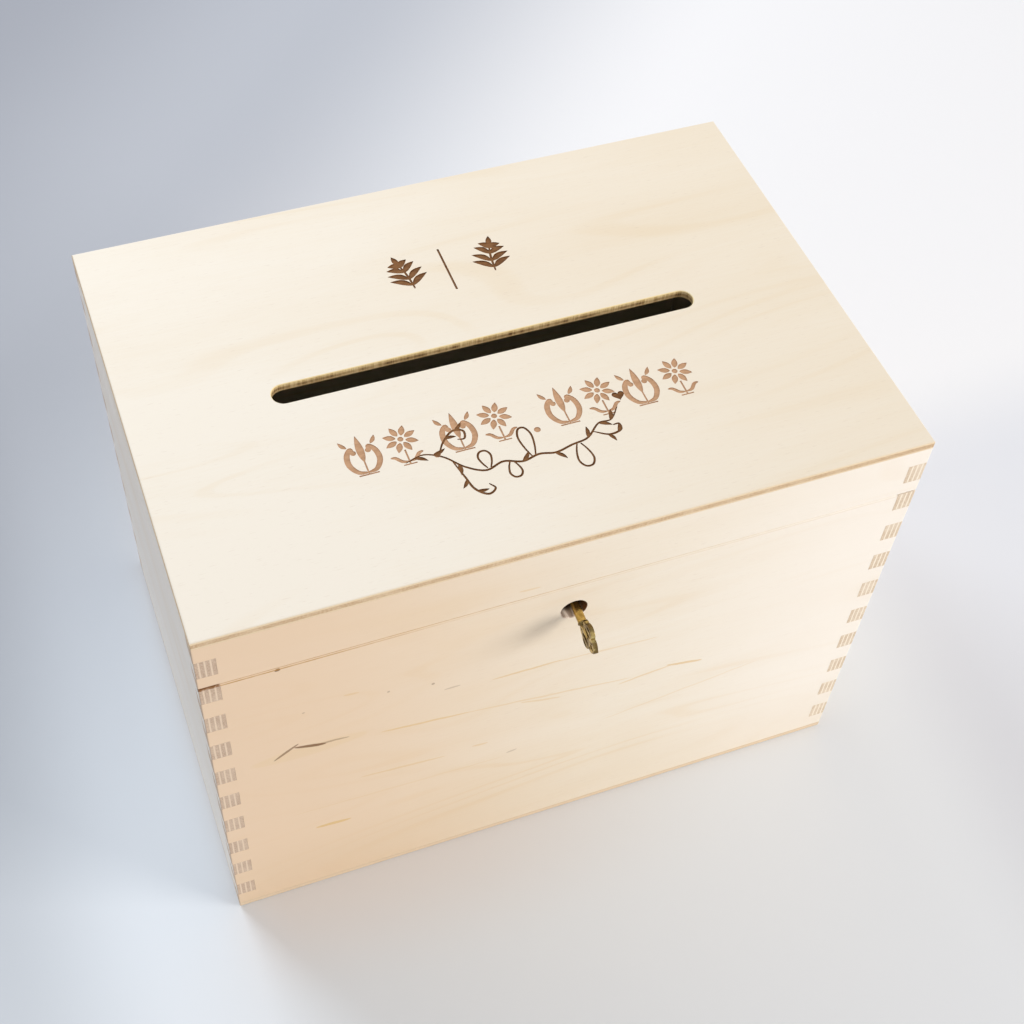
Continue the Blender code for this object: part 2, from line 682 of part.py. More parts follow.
def make_lock_screws():
    """Four through the cover's flange into the front panel, and two through the strike. Returns the two."""
    shape = screw("lock_screw", LOCK_SCREW)
    turn = (-math.pi / 2, 0, 0)
    for number, (x, z) in enumerate(lock_screw_places(), 1):
        add_piece(f"lock_screw_{number}", shape, STEEL, (x, FLANGE_BACK, z), turn)
    return [
        add_piece(f"strike_screw_{number}", shape, STEEL, (x, PLATE_BACK, z), turn)
        for number, (x, z) in enumerate(strike_screw_places(), 1)
    ]


def bow_discs(name, places, radius, half_thick):
    """Round discs across the key's bow, centred at these (Y, Z) offsets from the bow's middle."""
    ends = [((-half_thick, y, BOW_CENTRE + z), (half_thick, y, BOW_CENTRE + z)) for y, z in places]
    return [
        add_helper(f"{name}_{number}", rods(f"{name}_{number}", pair, radius=radius))
        for number, pair in enumerate(ends, 1)
    ]


def make_key():
    """The key about its own axis: Z towards the hand, Y the way the bit points, origin at the bit."""
    lobes = [(BOW_LOBE_OFFSET, 0), (-BOW_LOBE_OFFSET, 0), (0, BOW_LOBE_OFFSET)]
    half = BOW_THICKNESS / 2
    collar_z = BOW_CENTRE - BOW_LOBE_OFFSET - BOW_LOBE_RADIUS
    collar_ends = ((0, 0, collar_z), (0, 0, collar_z + COLLAR_LENGTH))
    bit_low = (-BIT_THICKNESS / 2, 0, -BIT_LENGTH / 2)
    bit = boxes("key_bit", (bit_low, (BIT_THICKNESS / 2, BIT_REACH, BIT_LENGTH / 2)))
    ward_low = (-BIT_THICKNESS, BIT_REACH - WARD_DEPTH, WARD_START)
    ward = boxes("key_ward", (ward_low, (BIT_THICKNESS, BIT_REACH + PAST, BIT_LENGTH)))
    bore = rods("key_bore", ((0, 0, SHAFT_END - PAST), (0, 0, BORE_END)), radius=SHAFT_BORE_RADIUS)
    shaft = rods("key", ((0, 0, SHAFT_END), (0, 0, BOW_CENTRE)), radius=SHAFT_RADIUS)
    key = add_piece("key", shaft, ANTIQUE_BRASS)
    join(key, *bow_discs("bow_lobe", lobes, BOW_LOBE_RADIUS, half))
    join(key, *bow_discs("bow_middle", [(0, 0)], BOW_MIDDLE_RADIUS, half))
    join(key, add_helper("key_collar", rods("key_collar", collar_ends, radius=COLLAR_RADIUS)))
    join(key, add_helper("key_bit", bit))
    cut(key, *bow_discs("bow_hole", lobes, BOW_HOLE_RADIUS, BOW_THICKNESS))
    cut(key, add_helper("key_bore", bore), add_helper("key_ward", ward))
    mesh = shade_round(settled_mesh(key, "key"))
    for helper in [h for h in HELPERS.objects if h.name.startswith(("bow_", "key_"))]:
        bpy.data.objects.remove(helper)
    turn = (math.pi / 2 + KEY_DROOP, 0, 0)
    return add_piece("key", mesh, ANTIQUE_BRASS, (LOCK_X, LOCK_Y, LOCK_Z), turn)


# ---------------------------------------------------------------- assembly


def carry(name, axis_point, pieces):
    """An empty on a joint's axis that carries the pieces that move about it."""
    empty = bpy.data.objects.new(name, None)
    empty.location = axis_point
    PARTS.objects.link(empty)
    back = Matrix.Translation(axis_point).inverted()
    for piece in pieces:
        piece.parent = empty
        piece.matrix_parent_inverse = back


for leftover in list(bpy.data.objects):
    bpy.data.objects.remove(leftover)

PARTS = collection("wedding_card_box")
HELPERS = collection("cutters")
PLYWOOD = material("birch_plywood", (0.84, 0.72, 0.55), 0.6)
BRASS = material("brass", (0.72, 0.53, 0.22), 0.32, 1.0)
ANTIQUE_BRASS = material("antique_brass", (0.42, 0.31, 0.12), 0.4, 1.0)
STEEL = material("zinc_steel", (0.6, 0.6, 0.58), 0.35, 1.0)


def main():
    lid = make_walls()
    make_bottom_panel()
    lid.append(make_lid_top_panel())
    lid += make_hinges()
    studs = [(LOCK_X, LOCK_Z), (LOCK_X + GUIDE_X, LOCK_Z + GUIDE_Z)]
    screws = front_pilot_cutter("lock_plate_screw_holes", lock_screw_places(), FLANGE_BACK)
    make_lock_plate(screws)
    make_lock_cover(studs)
    make_studs(studs)
    make_spring()
    lid.append(make_strike())
    lid += make_lock_screws()
    carry("lid_hinge_axis", Vector((0, AXIS_Y, AXIS_Z)), lid)
    carry("bolt_slide_axis", Vector((LOCK_X, LOCK_Y, LOCK_Z)), [make_bolt()])
    carry("key_turn_axis", Vector((LOCK_X, LOCK_Y, LOCK_Z)), [make_key()])


main()
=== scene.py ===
"""The looks of the plywood wedding card box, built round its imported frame.

Units are metres. +X is to the right, +Y to the hinged back and +Z up, and the origin is the middle of the
box's underside. Every wooden panel is carved again with tight finger joints and eased edges, the lid is
engraved with ornaments, the key is modelled in full, and each piece gets a procedural material.
"""

import json
import math

import bmesh
import bpy
from mathutils import Matrix, Vector

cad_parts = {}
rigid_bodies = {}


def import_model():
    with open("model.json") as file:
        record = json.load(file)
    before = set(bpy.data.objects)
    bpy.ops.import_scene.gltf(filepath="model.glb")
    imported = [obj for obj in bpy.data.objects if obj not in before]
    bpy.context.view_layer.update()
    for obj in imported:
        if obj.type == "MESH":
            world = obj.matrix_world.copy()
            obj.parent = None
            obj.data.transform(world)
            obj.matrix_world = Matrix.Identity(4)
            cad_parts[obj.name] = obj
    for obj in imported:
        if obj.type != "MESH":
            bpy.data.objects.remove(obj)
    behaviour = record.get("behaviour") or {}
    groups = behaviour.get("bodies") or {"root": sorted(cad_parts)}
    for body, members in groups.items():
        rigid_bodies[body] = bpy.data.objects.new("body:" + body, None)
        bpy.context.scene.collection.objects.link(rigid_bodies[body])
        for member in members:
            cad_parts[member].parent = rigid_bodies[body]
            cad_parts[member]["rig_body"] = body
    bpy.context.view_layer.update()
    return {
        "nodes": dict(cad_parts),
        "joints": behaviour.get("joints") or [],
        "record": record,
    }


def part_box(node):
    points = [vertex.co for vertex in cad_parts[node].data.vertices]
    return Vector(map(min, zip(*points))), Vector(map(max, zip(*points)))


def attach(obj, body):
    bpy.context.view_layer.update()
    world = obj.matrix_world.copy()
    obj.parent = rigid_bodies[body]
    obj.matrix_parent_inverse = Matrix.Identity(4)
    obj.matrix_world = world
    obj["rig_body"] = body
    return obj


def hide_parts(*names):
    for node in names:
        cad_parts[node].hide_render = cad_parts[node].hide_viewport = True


MM = 0.001
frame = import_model()
SLOT_OF = {row["node"]: row["material_slot"] for row in frame["record"]["subparts"]}

# ---- sizes, mostly read from the frame

FRONT_LOW, FRONT_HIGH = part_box("front_panel")
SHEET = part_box("bottom_panel")[1].z
HALF_X = FRONT_HIGH.x
HALF_Y = -FRONT_LOW.y
WALL = FRONT_HIGH.y - FRONT_LOW.y
INNER_X = HALF_X - WALL
INNER_Y = HALF_Y - WALL
BASE_TOP = FRONT_HIGH.z
LID_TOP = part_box("lid_top_panel")[1].z
RAIL_TOP = LID_TOP - SHEET
SPLIT = 0.2 * MM  # the crack between lid and base
RAIL_BOTTOM = BASE_TOP + SPLIT
FINGER = 10.1 * MM
END_FINGER = 8.7 * MM
SEAM = 0.05 * MM  # the glue line between two fingers
SLOT_LENGTH = 177 * MM
SLOT_WIDTH = 9.8 * MM
KEYHOLE_RADIUS = 5.3 * MM
KEYHOLE_Z = BASE_TOP - 16.4 * MM
PAST = 2 * MM  # how far a cutter runs past a face

# How far each kind of sanded edge is eased
FINGER_EASE = 0.1 * MM
CORNER_EASE = 0.55 * MM
BASE_RIM_EASE = 0.95 * MM
LID_RIM_EASE = 0.35 * MM
TOP_EASE = 0.85 * MM
BOTTOM_EASE = 0.7 * MM
SLOT_EASE = 0.25 * MM
KEYHOLE_EASE = 0.3 * MM

JOINTS = {joint["name"]: joint for joint in frame["joints"]}
HINGE_AXIS = Vector(JOINTS["lid_hinge"]["pos_m"])
LEAF = 0.9 * MM
LEAF_OFFSET = 0.15 * MM  # from the hinge's axis up or down to a leaf
BARREL = (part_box("hinge_left_base_leaf")[1].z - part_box("hinge_left_base_leaf")[0].z) / 2
LEAF_CLEARANCE = 0.12 * MM
LID_OPENS = math.radians(JOINTS["lid_hinge"]["range_deg"][1])

KEY_AT = Vector(JOINTS["key_turn"]["pos_m"])
KEY_AXIS = Vector(JOINTS["key_turn"]["axis"])
SHAFT_RADIUS = 1.75 * MM
BOW_CENTRE = 24.0 * MM  # from the middle of the bit, along the key

DARK_DEPTH = 0.35 * MM  # of the dark engraved lines
LIGHT_DEPTH = 0.2 * MM  # of the lighter engraved row

# ---- mesh tools


def link(name, mesh):
    made = bpy.data.objects.new(name, mesh)
    bpy.context.scene.collection.objects.link(made)
    return made


def as_mesh(shape, name):
    bmesh.ops.recalc_face_normals(shape, faces=shape.faces)
    mesh = bpy.data.meshes.new(name)
    shape.to_mesh(mesh)
    shape.free()
    return mesh


def lofts(name, pairs, axis, low, high):
    """Closed solids along an axis, each from one outline at low to an equally long one at high.

    Axis 0 takes outlines in (y, z), 1 in (x, z) and 2 in (x, y).
    """
    shape = bmesh.new()

    def ring(outline, level):
        points = [list(point) for point in outline]
        for point in points:
            point.insert(axis, level)
        return [shape.verts.new(point) for point in points]

    for first, second in pairs:
        bottom, top = ring(first, low), ring(second, high)
        shape.faces.new(bottom)
        shape.faces.new(top)
        for number in range(len(bottom)):
            shape.faces.new((bottom[number - 1], bottom[number], top[number], top[number - 1]))
    return as_mesh(shape, name)


def prisms(name, outlines, axis, low, high):
    return lofts(name, [(outline, outline) for outline in outlines], axis, low, high)


def blocks(name, corners):
    """Boxes, each from its low corner and its high one."""
    shape = bmesh.new()
    for low, high in corners:
        low, high = Vector(low), Vector(high)
        place = Matrix.Translation((low + high) / 2) @ Matrix.Diagonal((*(high - low), 1))
        bmesh.ops.create_cube(shape, size=1, matrix=place)
    return as_mesh(shape, name)


def settle(piece):
    """Applies the piece's modifiers to its mesh."""
    graph = bpy.context.evaluated_depsgraph_get()
    mesh = bpy.data.meshes.new_from_object(piece.evaluated_get(graph), depsgraph=graph)
    piece.modifiers.clear()
    piece.data = mesh
    return piece


def combine(piece, operation, meshes, crossing=False):
    """Cuts or joins the piece with each mesh in turn. Cut faces take the cutter's material, if it has one.

    Crossing says that a mesh's own parts may overlap.
    """
    helpers = [link(mesh.name, mesh) for mesh in meshes]
    for helper in helpers:
        step = piece.modifiers.new(helper.name, "BOOLEAN")
        step.operation = operation
        step.object = helper
        step.solver = "EXACT"
        step.use_self = crossing
        step.material_mode = "TRANSFER"
    settle(piece)
    for helper in helpers:
        bpy.data.objects.remove(helper)
    return piece


def cut(piece, *meshes, crossing=False):
    return combine(piece, "DIFFERENCE", meshes, crossing)


def add_bevel(piece, width, segments=2, angle=30):
    step = piece.modifiers.new("bevel", "BEVEL")
    step.width = width
    step.segments = segments
    step.limit_method = "ANGLE"
    step.angle_limit = math.radians(angle)
    return piece


def shade(piece, angle=20):
    """Smooth shading with sharp edges, and flat faces that stay flat."""
    piece.data.shade_smooth()
    piece.data.set_sharp_from_angle(angle=math.radians(angle))
    step = piece.modifiers.new("normals", "WEIGHTED_NORMAL")
    step.keep_sharp = True
    return settle(piece)


def with_material(mesh, material):
    mesh.materials.append(material)
    return mesh


# ---- outlines, as lists of (across, up)


def circle(centre, radius, steps=32):
    turns = [2 * math.pi * step / steps for step in range(steps)]
    return [(centre[0] + radius * math.cos(t), centre[1] + radius * math.sin(t)) for t in turns]


def stadium(length, width, steps=16):
    radius = width / 2
    points = []
    for side in (1, -1):
        for step in range(steps + 1):
            turn = side * math.pi / 2 - math.pi * step / steps
            middle = side * (length / 2 - radius)
            points.append((middle + radius * math.cos(turn), radius * math.sin(turn)))
    return points


def rectangle(low, high):
    return [low, (high[0], low[1]), high, (low[0], high[1])]


def leaf(base, tip, width, bend=0.0, steps=14):
    """A pointed leaf from base to tip. A positive bend bows it to its left."""
    base, tip = Vector(base), Vector(tip)
    along = tip - base
    side = Vector((-along.y, along.x)).normalized()
    left, right = [], []
    for step in range(steps + 1):
        share = step / steps
        middle = base + along * share + side * bend * math.sin(math.pi * share)
        half = side * width / 2 * math.sin(math.pi * share ** 0.85) ** 0.9 if 0 < step < steps else None
        left.append(middle + half if half else middle)
        if half:
            right.append(middle - half)
    return [tuple(point) for point in left + right[::-1]]


def smooth(points, steps=8):
    """A Catmull-Rom curve through the points."""
    points = [Vector(point) for point in points]
    ends = [2 * points[0] - points[1], *points, 2 * points[-1] - points[-2]]
    curve = []
    for a, b, c, d in zip(ends, ends[1:], ends[2:], ends[3:]):
        for step in range(steps):
            t = step / steps
            bow = (2 * a - 5 * b + 4 * c - d) * t * t + (3 * b - a - 3 * c + d) * t ** 3
            curve.append((2 * b + (c - a) * t + bow) / 2)
    return [*curve, points[-1]]


def ribbon(curve, width, taper=0.35):
    """A stroke along the curve, thinner at both its ends."""
    left, right = [], []
    last = len(curve) - 1
    for number, point in enumerate(curve):
        along = curve[min(number + 1, last)] - curve[max(number - 1, 0)]
        side = Vector((-along.y, along.x)).normalized()
        swell = taper
        if 0 < number < last:
            swell += (1 - taper) * math.sin(math.pi * number / last) ** 0.6
        left.append(point + side * width / 2 * swell)
        right.append(point - side * width / 2 * swell)
    return [tuple(point) for point in left + right[::-1]]


def heart(centre, size, steps=40):
    points = []
    for step in range(steps):
        t = 2 * math.pi * step / steps
        across = 16 * math.sin(t) ** 3
        up = 13 * math.cos(t) - 5 * math.cos(2 * t) - 2 * math.cos(3 * t) - math.cos(4 * t)
        points.append((centre[0] + across * size / 32, centre[1] + up * size / 32))
    return points


# ---- materials


class Nodes:
    """Short calls for the nodes of a tree."""

    def __init__(self, tree):
        self.tree = tree

    def feed(self, socket, value):
        if isinstance(value, bpy.types.NodeSocket):
            self.tree.links.new(value, socket)
        else:
            socket.default_value = value

    def node(self, kind, inputs=None, **settings):
        made = self.tree.nodes.new(kind)
        for name, value in settings.items():
            setattr(made, name, value)
        for socket, value in (inputs or {}).items():
            self.feed(made.inputs[socket], value)
        return made

    def math(self, operation, *values, clamp=False):
        inputs = dict(enumerate(values))
        return self.node("ShaderNodeMath", inputs, operation=operation, use_clamp=clamp).outputs[0]

    def times(self, *values):
        """The product of two or more values."""
        product = values[0]
        for value in values[1:]:
            product = self.math("MULTIPLY", product, value)
        return product

    def apart(self, first, second):
        """How far apart two values are."""
        return self.math("ABSOLUTE", self.math("SUBTRACT", first, second))

    def varied(self, value, noise, amount, clamp=False):
        """The value, raised or lowered where the noise is above or below its middle."""
        return self.math("MULTIPLY_ADD", self.math("SUBTRACT", noise, 0.5), amount, value, clamp=clamp)

    def split(self, vector):
        return self.node("ShaderNodeSeparateXYZ", {0: vector}).outputs

    def noise(self, vector, scale, detail, roughness, distortion=0.0, offset=(0, 0, 0)):
        """Scale is one number, or one for each axis."""
        inputs = {0: vector, 1: scale if isinstance(scale, tuple) else (scale,) * 3, 2: offset}
        place = self.node("ShaderNodeVectorMath", inputs, operation="MULTIPLY_ADD").outputs[0]
        inputs = {"Vector": place, "Scale": 1.0, "Detail": detail}
        inputs |= {"Roughness": roughness, "Distortion": distortion}
        return self.node("ShaderNodeTexNoise", inputs).outputs["Fac"]

    def ramp(self, value, start, end, low=0.0, high=1.0):
        """Runs smoothly from low to high as value goes from start to end."""
        inputs = {"Value": value, "From Min": start, "From Max": end, "To Min": low, "To Max": high}
        return self.node("ShaderNodeMapRange", inputs, interpolation_type="SMOOTHSTEP").outputs[0]

    def fade(self, value, start, end):
        return self.ramp(value, start, end, 1.0, 0.0)

    def mix(self, share, first, second):
        inputs = {0: share, 6: solid(first), 7: solid(second)}
        return self.node("ShaderNodeMix", inputs, data_type="RGBA").outputs[2]

    def bump(self, height, distance, strength, normal=None):
        inputs = {"Height": height, "Distance": distance, "Strength": strength}
        if normal:
            inputs["Normal"] = normal
        return self.node("ShaderNodeBump", inputs).outputs[0]


class Look(Nodes):
    """A material. Place is in the object's own metres, and parts are its x, y and z."""

    def __init__(self, name, **values):
        self.material = bpy.data.materials.new(name)
        self.material.use_nodes = True
        super().__init__(self.material.node_tree)
        self.shader = self.tree.nodes["Principled BSDF"]
        coordinates = self.node("ShaderNodeTexCoord")
        self.place = coordinates.outputs["Object"]
        self.facing = coordinates.outputs["Normal"]
        self.parts = self.split(self.place)
        self.finish(**values)

    def finish(self, **sockets):
        """Sets the shader's sockets, and gives the material."""
        for socket, value in sockets.items():
            self.feed(self.shader.inputs[socket.replace("_", " ")], value)
        return self.material


def solid(colour):
    """A colour socket's value, from three numbers, or the socket that gives it."""
    return colour if isinstance(colour, bpy.types.NodeSocket) else (*colour, 1.0)


PALE_BIRCH = (0.85, 0.785, 0.68)
WARM_BIRCH = (0.80, 0.69, 0.535)
# Painted light and shade on the front: the peach is partly its own colour and partly painted shade at its
# dim left, and the next one is painted light at its lit right
PEACH_AND_SHADE_BIRCH = (0.80, 0.60, 0.425)
PAINTED_LIGHT_BIRCH = (0.93, 0.885, 0.83)
# Painted shade: a grey that gives the left side the cool look of its shaded face
SHADE_GREY_BIRCH = (0.905, 0.86, 0.83)
FOOT_GOLD = (0.66, 0.52, 0.34)
PORE_BROWN = (0.50, 0.36, 0.265)
HALO = (0.76, 0.57, 0.33)
AMBER = (0.72, 0.50, 0.22)
MINERAL = (0.22, 0.115, 0.05)
SAWN_GOLD = (0.48, 0.27, 0.08)
TORN_BROWN = (0.27, 0.125, 0.045)

# A cut edge's colour where it is end grain, and where it is long grain
DULL_EDGES = (PORE_BROWN, (0.77, 0.63, 0.49))
# Painted light: lighter edges for the right panel, on the box's lit side
PAINTED_LIGHT_EDGES = ((0.60, 0.46, 0.32), (0.90, 0.82, 0.70))
GOLDEN_EDGES = ((0.53, 0.355, 0.21), (0.80, 0.66, 0.46))
SOFT_EDGES = ((0.68, 0.53, 0.37), (0.76, 0.61, 0.44))


def grain_axes(look, grain, through):
    """The surface's place as (along the grain, across it, through the panel)."""
    across = ({0, 1, 2} - {grain, through}).pop()
    inputs = {number: look.parts[axis] for number, axis in enumerate((grain, across, through))}
    return look.node("ShaderNodeCombineXYZ", inputs).outputs[0]


def veneer(look, point, seed, tone_and_shading, figure):
    """Rotary-cut birch: soft flames along the grain, nested contour lines, fibres and short flecks.

    The tone is 0 for the palest veneer and 1 for the warmest, and on the front and the top it also carries
    painted light and shade. Figure is how strongly the flames show.
    Returns the colour and the bump's height.
    """
    offset = (seed * 3.1, seed * 7.7, seed * 1.3)
    cloud = look.noise(point, (6, 26, 26), 2.0, 0.45, 0.6, offset)
    field = look.noise(point, (3.2, 15, 15), 1.0, 0.4, 0.9, offset)
    rings = look.math("SINE", look.times(field, 62.0))
    thin = look.ramp(rings, 0.55, 1.0)
    fibre = look.noise(point, (70, 1500, 1500), 3.0, 0.6, 0.2, offset)
    fleck = look.ramp(look.noise(point, (240, 2600, 2600), 1.0, 0.5, 0.0, offset), 0.66, 0.78)
    shift = look.varied(tone_and_shading, cloud, 1.5 * figure)
    shift = look.math("MULTIPLY_ADD", rings, 0.05 * figure, shift)
    shift = look.varied(shift, fibre, 0.4, clamp=True)
    colour = look.mix(shift, PALE_BIRCH, WARM_BIRCH)
    contours = look.times(thin, look.ramp(cloud, 0.4, 0.7, 0.0, 0.2 * figure))
    colour = look.mix(contours, colour, AMBER)
    colour = look.mix(look.times(fleck, 0.2), colour, PORE_BROWN)
    height = look.math("MULTIPLY_ADD", fleck, -0.6, fibre)
    return colour, height


def ply_edge(look, point, depth, plies, edges, along_grain, seed):
    """The colour of the panel's cut edge, and the height of its pores."""
    outer, between = plies
    end, long = edges
    halfway = tuple((one + other) / 2 for one, other in zip(end, long))
    wobble = look.noise(point, 180, 2.0, 0.5, 0.0, (seed, 0, seed))
    wavy = look.varied(depth, wobble, 0.16 * MM)
    turn = look.math("FRACT", look.math("DIVIDE", wavy, outer + between))
    share = outer / (outer + between)
    is_outer = look.times(look.ramp(turn, 0.0, 0.05), look.fade(turn, share - 0.025, share + 0.025))
    ends = look.apart(is_outer, look.math("SUBTRACT", 1.0, along_grain))
    pores = look.noise(look.place, 1300, 2.0, 0.65)
    blot = look.noise(look.place, 110, 2.0, 0.5, 0.0, (seed, seed, 0))
    dark = look.mix(look.ramp(pores, 0.35, 0.68), end, halfway)
    dark = look.mix(look.ramp(blot, 0.42, 0.68, 0.0, 0.32), dark, long)
    light = look.mix(look.ramp(pores, 0.4, 0.65, 0.0, 0.35), long, halfway)
    return look.mix(ends, light, dark), pores


def streak(look, x, z, start, end, width, strength):
    """How strongly a long mark shows at (x, z). Its start, end and width are in millimetres."""
    start, end = Vector(start) * MM, Vector(end) * MM
    along = end - start
    unit = along.normalized()
    x = look.math("SUBTRACT", x, start.x)
    z = look.math("SUBTRACT", z, start.y)
    run = look.math("MULTIPLY_ADD", x, unit.x, look.times(z, unit.y))
    off = look.math("MULTIPLY_ADD", x, -unit.y, look.times(z, unit.x))
    share = look.math("DIVIDE", run, along.length)
    inside = look.math("MULTIPLY", share, look.math("SUBTRACT", 1.0, share), clamp=True)
    half = look.times(look.math("SQRT", inside), width * MM)
    edge = look.math("SUBTRACT", look.math("ABSOLUTE", off), half)
    shown = look.ramp(edge, -0.16 * width * MM, 0.16 * MM, strength, 0.0)
    return look.times(shown, look.ramp(inside, 0.0, 0.06))


# The marks in the front's veneer: (x, z) from and to, how wide, and how strong
HALO_STREAKS = (((-132, 119.5), (-82, 120.5), 9.0, 0.32),)
DARK_STREAKS = (
    ((-121.8, 118.8), (-111.0, 127.2), 1.35, 0.75),
    ((-113.4, 124.9), (-100.0, 121.2), 2.0, 0.9),
    ((-107.5, 122.6), (-90.5, 121.2), 1.3, 0.5),
    ((-117.2, 182.5), (-114.9, 182.8), 1.5, 0.95),
    ((-52.0, 135.7), (-44.8, 135.6), 1.1, 0.3),
    ((-22.2, 68.6), (-17.2, 69.6), 1.3, 0.3),
    ((-57.2, 142.3), (-55.8, 142.8), 1.5, 0.5),
    ((-75.2, 146.0), (-74.0, 146.4), 1.2, 0.4),
    ((-108.8, 148.4), (-107.6, 148.8), 1.0, 0.3),
)
AMBER_STREAKS = (
    ((-108.0, 53.2), (-91.5, 52.2), 2.4, 0.85),
    ((-79.0, 117.4), (-39.0, 112.6), 1.4, 0.65),
    ((-44.0, 113.2), (34.0, 101.5), 1.2, 0.4),
    ((-32.5, 132.9), (-1.0, 132.4), 1.3, 0.6),
    ((-6.0, 132.5), (42.0, 128.5), 1.1, 0.35),
    ((-88.0, 85.8), (-49.0, 81.9), 1.3, 0.5),
    ((-38.5, 83.2), (-31.0, 82.6), 1.3, 0.5),
    ((-92.5, 153.0), (-86.0, 152.0), 1.2, 0.45),
    ((-18.5, 108.0), (0.5, 102.8), 1.4, 0.4),
    ((26.0, 99.2), (52.0, 102.4), 1.2, 0.5),
    ((48.0, 103.2), (66.0, 99.0), 1.8, 0.7),
    ((-120.0, 70.0), (-20.0, 66.0), 1.0, 0.22),
    ((-24.0, 189.6), (-15.0, 189.2), 1.1, 0.4),
    ((20.0, 72.0), (96.0, 84.0), 1.0, 0.25),
)


def front_marks(look, colour):
    """The mineral streaks and gum lines of the front's veneer."""
    drift = look.noise(look.place, 90, 3.0, 0.6)
    x, z = look.parts[0], look.varied(look.parts[2], drift, 1.6 * MM)
    for marks, tint in ((HALO_STREAKS, HALO), (AMBER_STREAKS, AMBER), (DARK_STREAKS, MINERAL)):
        for mark in marks:
            colour = look.mix(streak(look, x, z, *mark), colour, tint)
    return colour


def split_lines(look, colour):
    """The golden sawn edges of lid and base. The lower one fades first towards the right."""
    x, y, z = look.parts
    patchy = look.ramp(look.noise(look.place, (130, 130, 10), 3.0, 0.65), 0.25, 0.6, 0.55, 1.0)
    outside = look.fade(y, -HALF_Y + 0.7 * MM, -HALF_Y + 1.2 * MM)
    crack = (BASE_TOP + RAIL_BOTTOM) / 2
    for level, reach, left, right, end in (
        (crack, 0.55 * MM, 1.0, 0.15, HALF_X),
        (BASE_TOP - BASE_RIM_EASE, 0.36 * MM, 0.9, 0.15, -0.3 * HALF_X),
    ):
        line = look.times(look.fade(look.apart(z, level), 0.4 * reach, reach), outside)
        strength = look.times(look.ramp(x, -0.8 * HALF_X, end, left, right), patchy)
        colour = look.mix(look.times(line, strength), colour, SAWN_GOLD)
    return colour


def chipped_end(look, colour):
    """The torn chip where the crack between lid and base meets the front's left corner."""
    x, y, z = look.parts
    at_crack = look.fade(look.apart(z, BASE_TOP - 0.2 * MM), 0.8 * MM, 1.2 * MM)
    at_left = look.fade(x, -INNER_X - 0.8 * MM, -INNER_X + 0.4 * MM)
    at_front = look.fade(y, -HALF_Y + 1.0 * MM, -HALF_Y + 2.0 * MM)
    patchy = look.ramp(look.noise(look.place, 420, 3.0, 0.7), 0.34, 0.55, 0.35, 1.0)
    return look.mix(look.times(at_crack, look.times(at_left, at_front), patchy), colour, TORN_BROWN)


# How thick the outer kind of ply is, and the kind between
WALL_PLIES = (1.55 * MM, 0.6 * MM)
SHEET_PLIES = (0.75 * MM, 2.0 * MM)


def birch(
    name, through, grain, outer_face, seed,
    plies=WALL_PLIES, edges=DULL_EDGES, tone_and_shading=None, marks=None, worn=None, figure=1.0,
):
    """Birch plywood. Through and grain are axes, and outer_face is the panel's face on the through axis.

    Tone takes the look and gives the veneer's warmth, with painted light and shade in it for the front and
    the top.
    Marks changes the veneer's colour, and paints light and shade on the front and the left side, and worn
    changes the colour of veneer and edges alike.
    """
    look = Look(name, IOR=1.45, Specular_IOR_Level=0.32)
    point = grain_axes(look, grain, through)
    depth = look.apart(look.parts[through], outer_face)
    normal = look.split(look.facing)
    on_face = look.ramp(look.math("ABSOLUTE", normal[through]), 0.62, 0.82)
    on_end = look.ramp(look.math("ABSOLUTE", normal[grain]), 0.6, 0.8)
    face, fibre = veneer(look, point, seed, tone_and_shading(look) if tone_and_shading else 0.35, figure)
    if marks:
        face = marks(look, face)
    edge, pores = ply_edge(look, point, depth, plies, edges, on_end, seed)
    colour = look.mix(on_face, edge, face)
    if worn:
        colour = worn(look, colour)
    rough = look.ramp(fibre, 0.3, 0.7, 0.5, 0.62)
    rough = look.math("MULTIPLY_ADD", look.math("SUBTRACT", 1.0, on_face), 0.14, rough)
    grainy = look.bump(fibre, 0.035 * MM, 0.5)
    pitted = look.bump(pores, 0.03 * MM, 0.35, grainy)
    return look.finish(Base_Color=colour, Roughness=rough, Normal=pitted)


def top_tone_and_sheen(look):
    """Paler to the left, warmer to the right and the back: partly the veneer's own tone, and partly
    painted sheen and light from the lamp at the back left.
    """
    across = look.ramp(look.parts[0], -HALF_X, HALF_X, -0.05, 0.7)
    return look.math("ADD", across, look.ramp(look.parts[1], -HALF_Y, HALF_Y, 0.0, 0.15))


# Painted shading: the front's veneer is warmer at its dim left and paler at its lit right
def front_tone_and_shading(look):
    return look.ramp(look.parts[0], -HALF_X, HALF_X, 0.9, 0.1)


def front_wear(look, colour):
    return chipped_end(look, split_lines(look, colour))


# Painted shade: greys the left side's veneer like its face in shade
def side_veneer_and_shade(look, colour):
    return look.mix(0.5, colour, SHADE_GREY_BIRCH)


def front_veneer_and_shading(look, colour):
    """A peach cast at the left, partly the veneer's own colour and partly painted shade, a painted light
    that pales the right, golden at the foot, and streaks on the outer face.
    """
    x, y, z = look.parts
    # Painted shade at the left, partly the veneer's own peach
    colour = look.mix(look.ramp(x, -HALF_X, 0.25 * HALF_X, 0.85, 0.0), colour, PEACH_AND_SHADE_BIRCH)
    # Painted light at the right
    colour = look.mix(look.ramp(x, 0.2 * HALF_X, HALF_X, 0.0, 0.65), colour, PAINTED_LIGHT_BIRCH)
    colour = look.mix(look.ramp(z, 12 * MM, 60 * MM, 0.2, 0.0), colour, FOOT_GOLD)
    outside = look.fade(y, -HALF_Y + 1.0 * MM, -HALF_Y + 2.0 * MM)
    return look.mix(outside, colour, front_marks(look, colour))


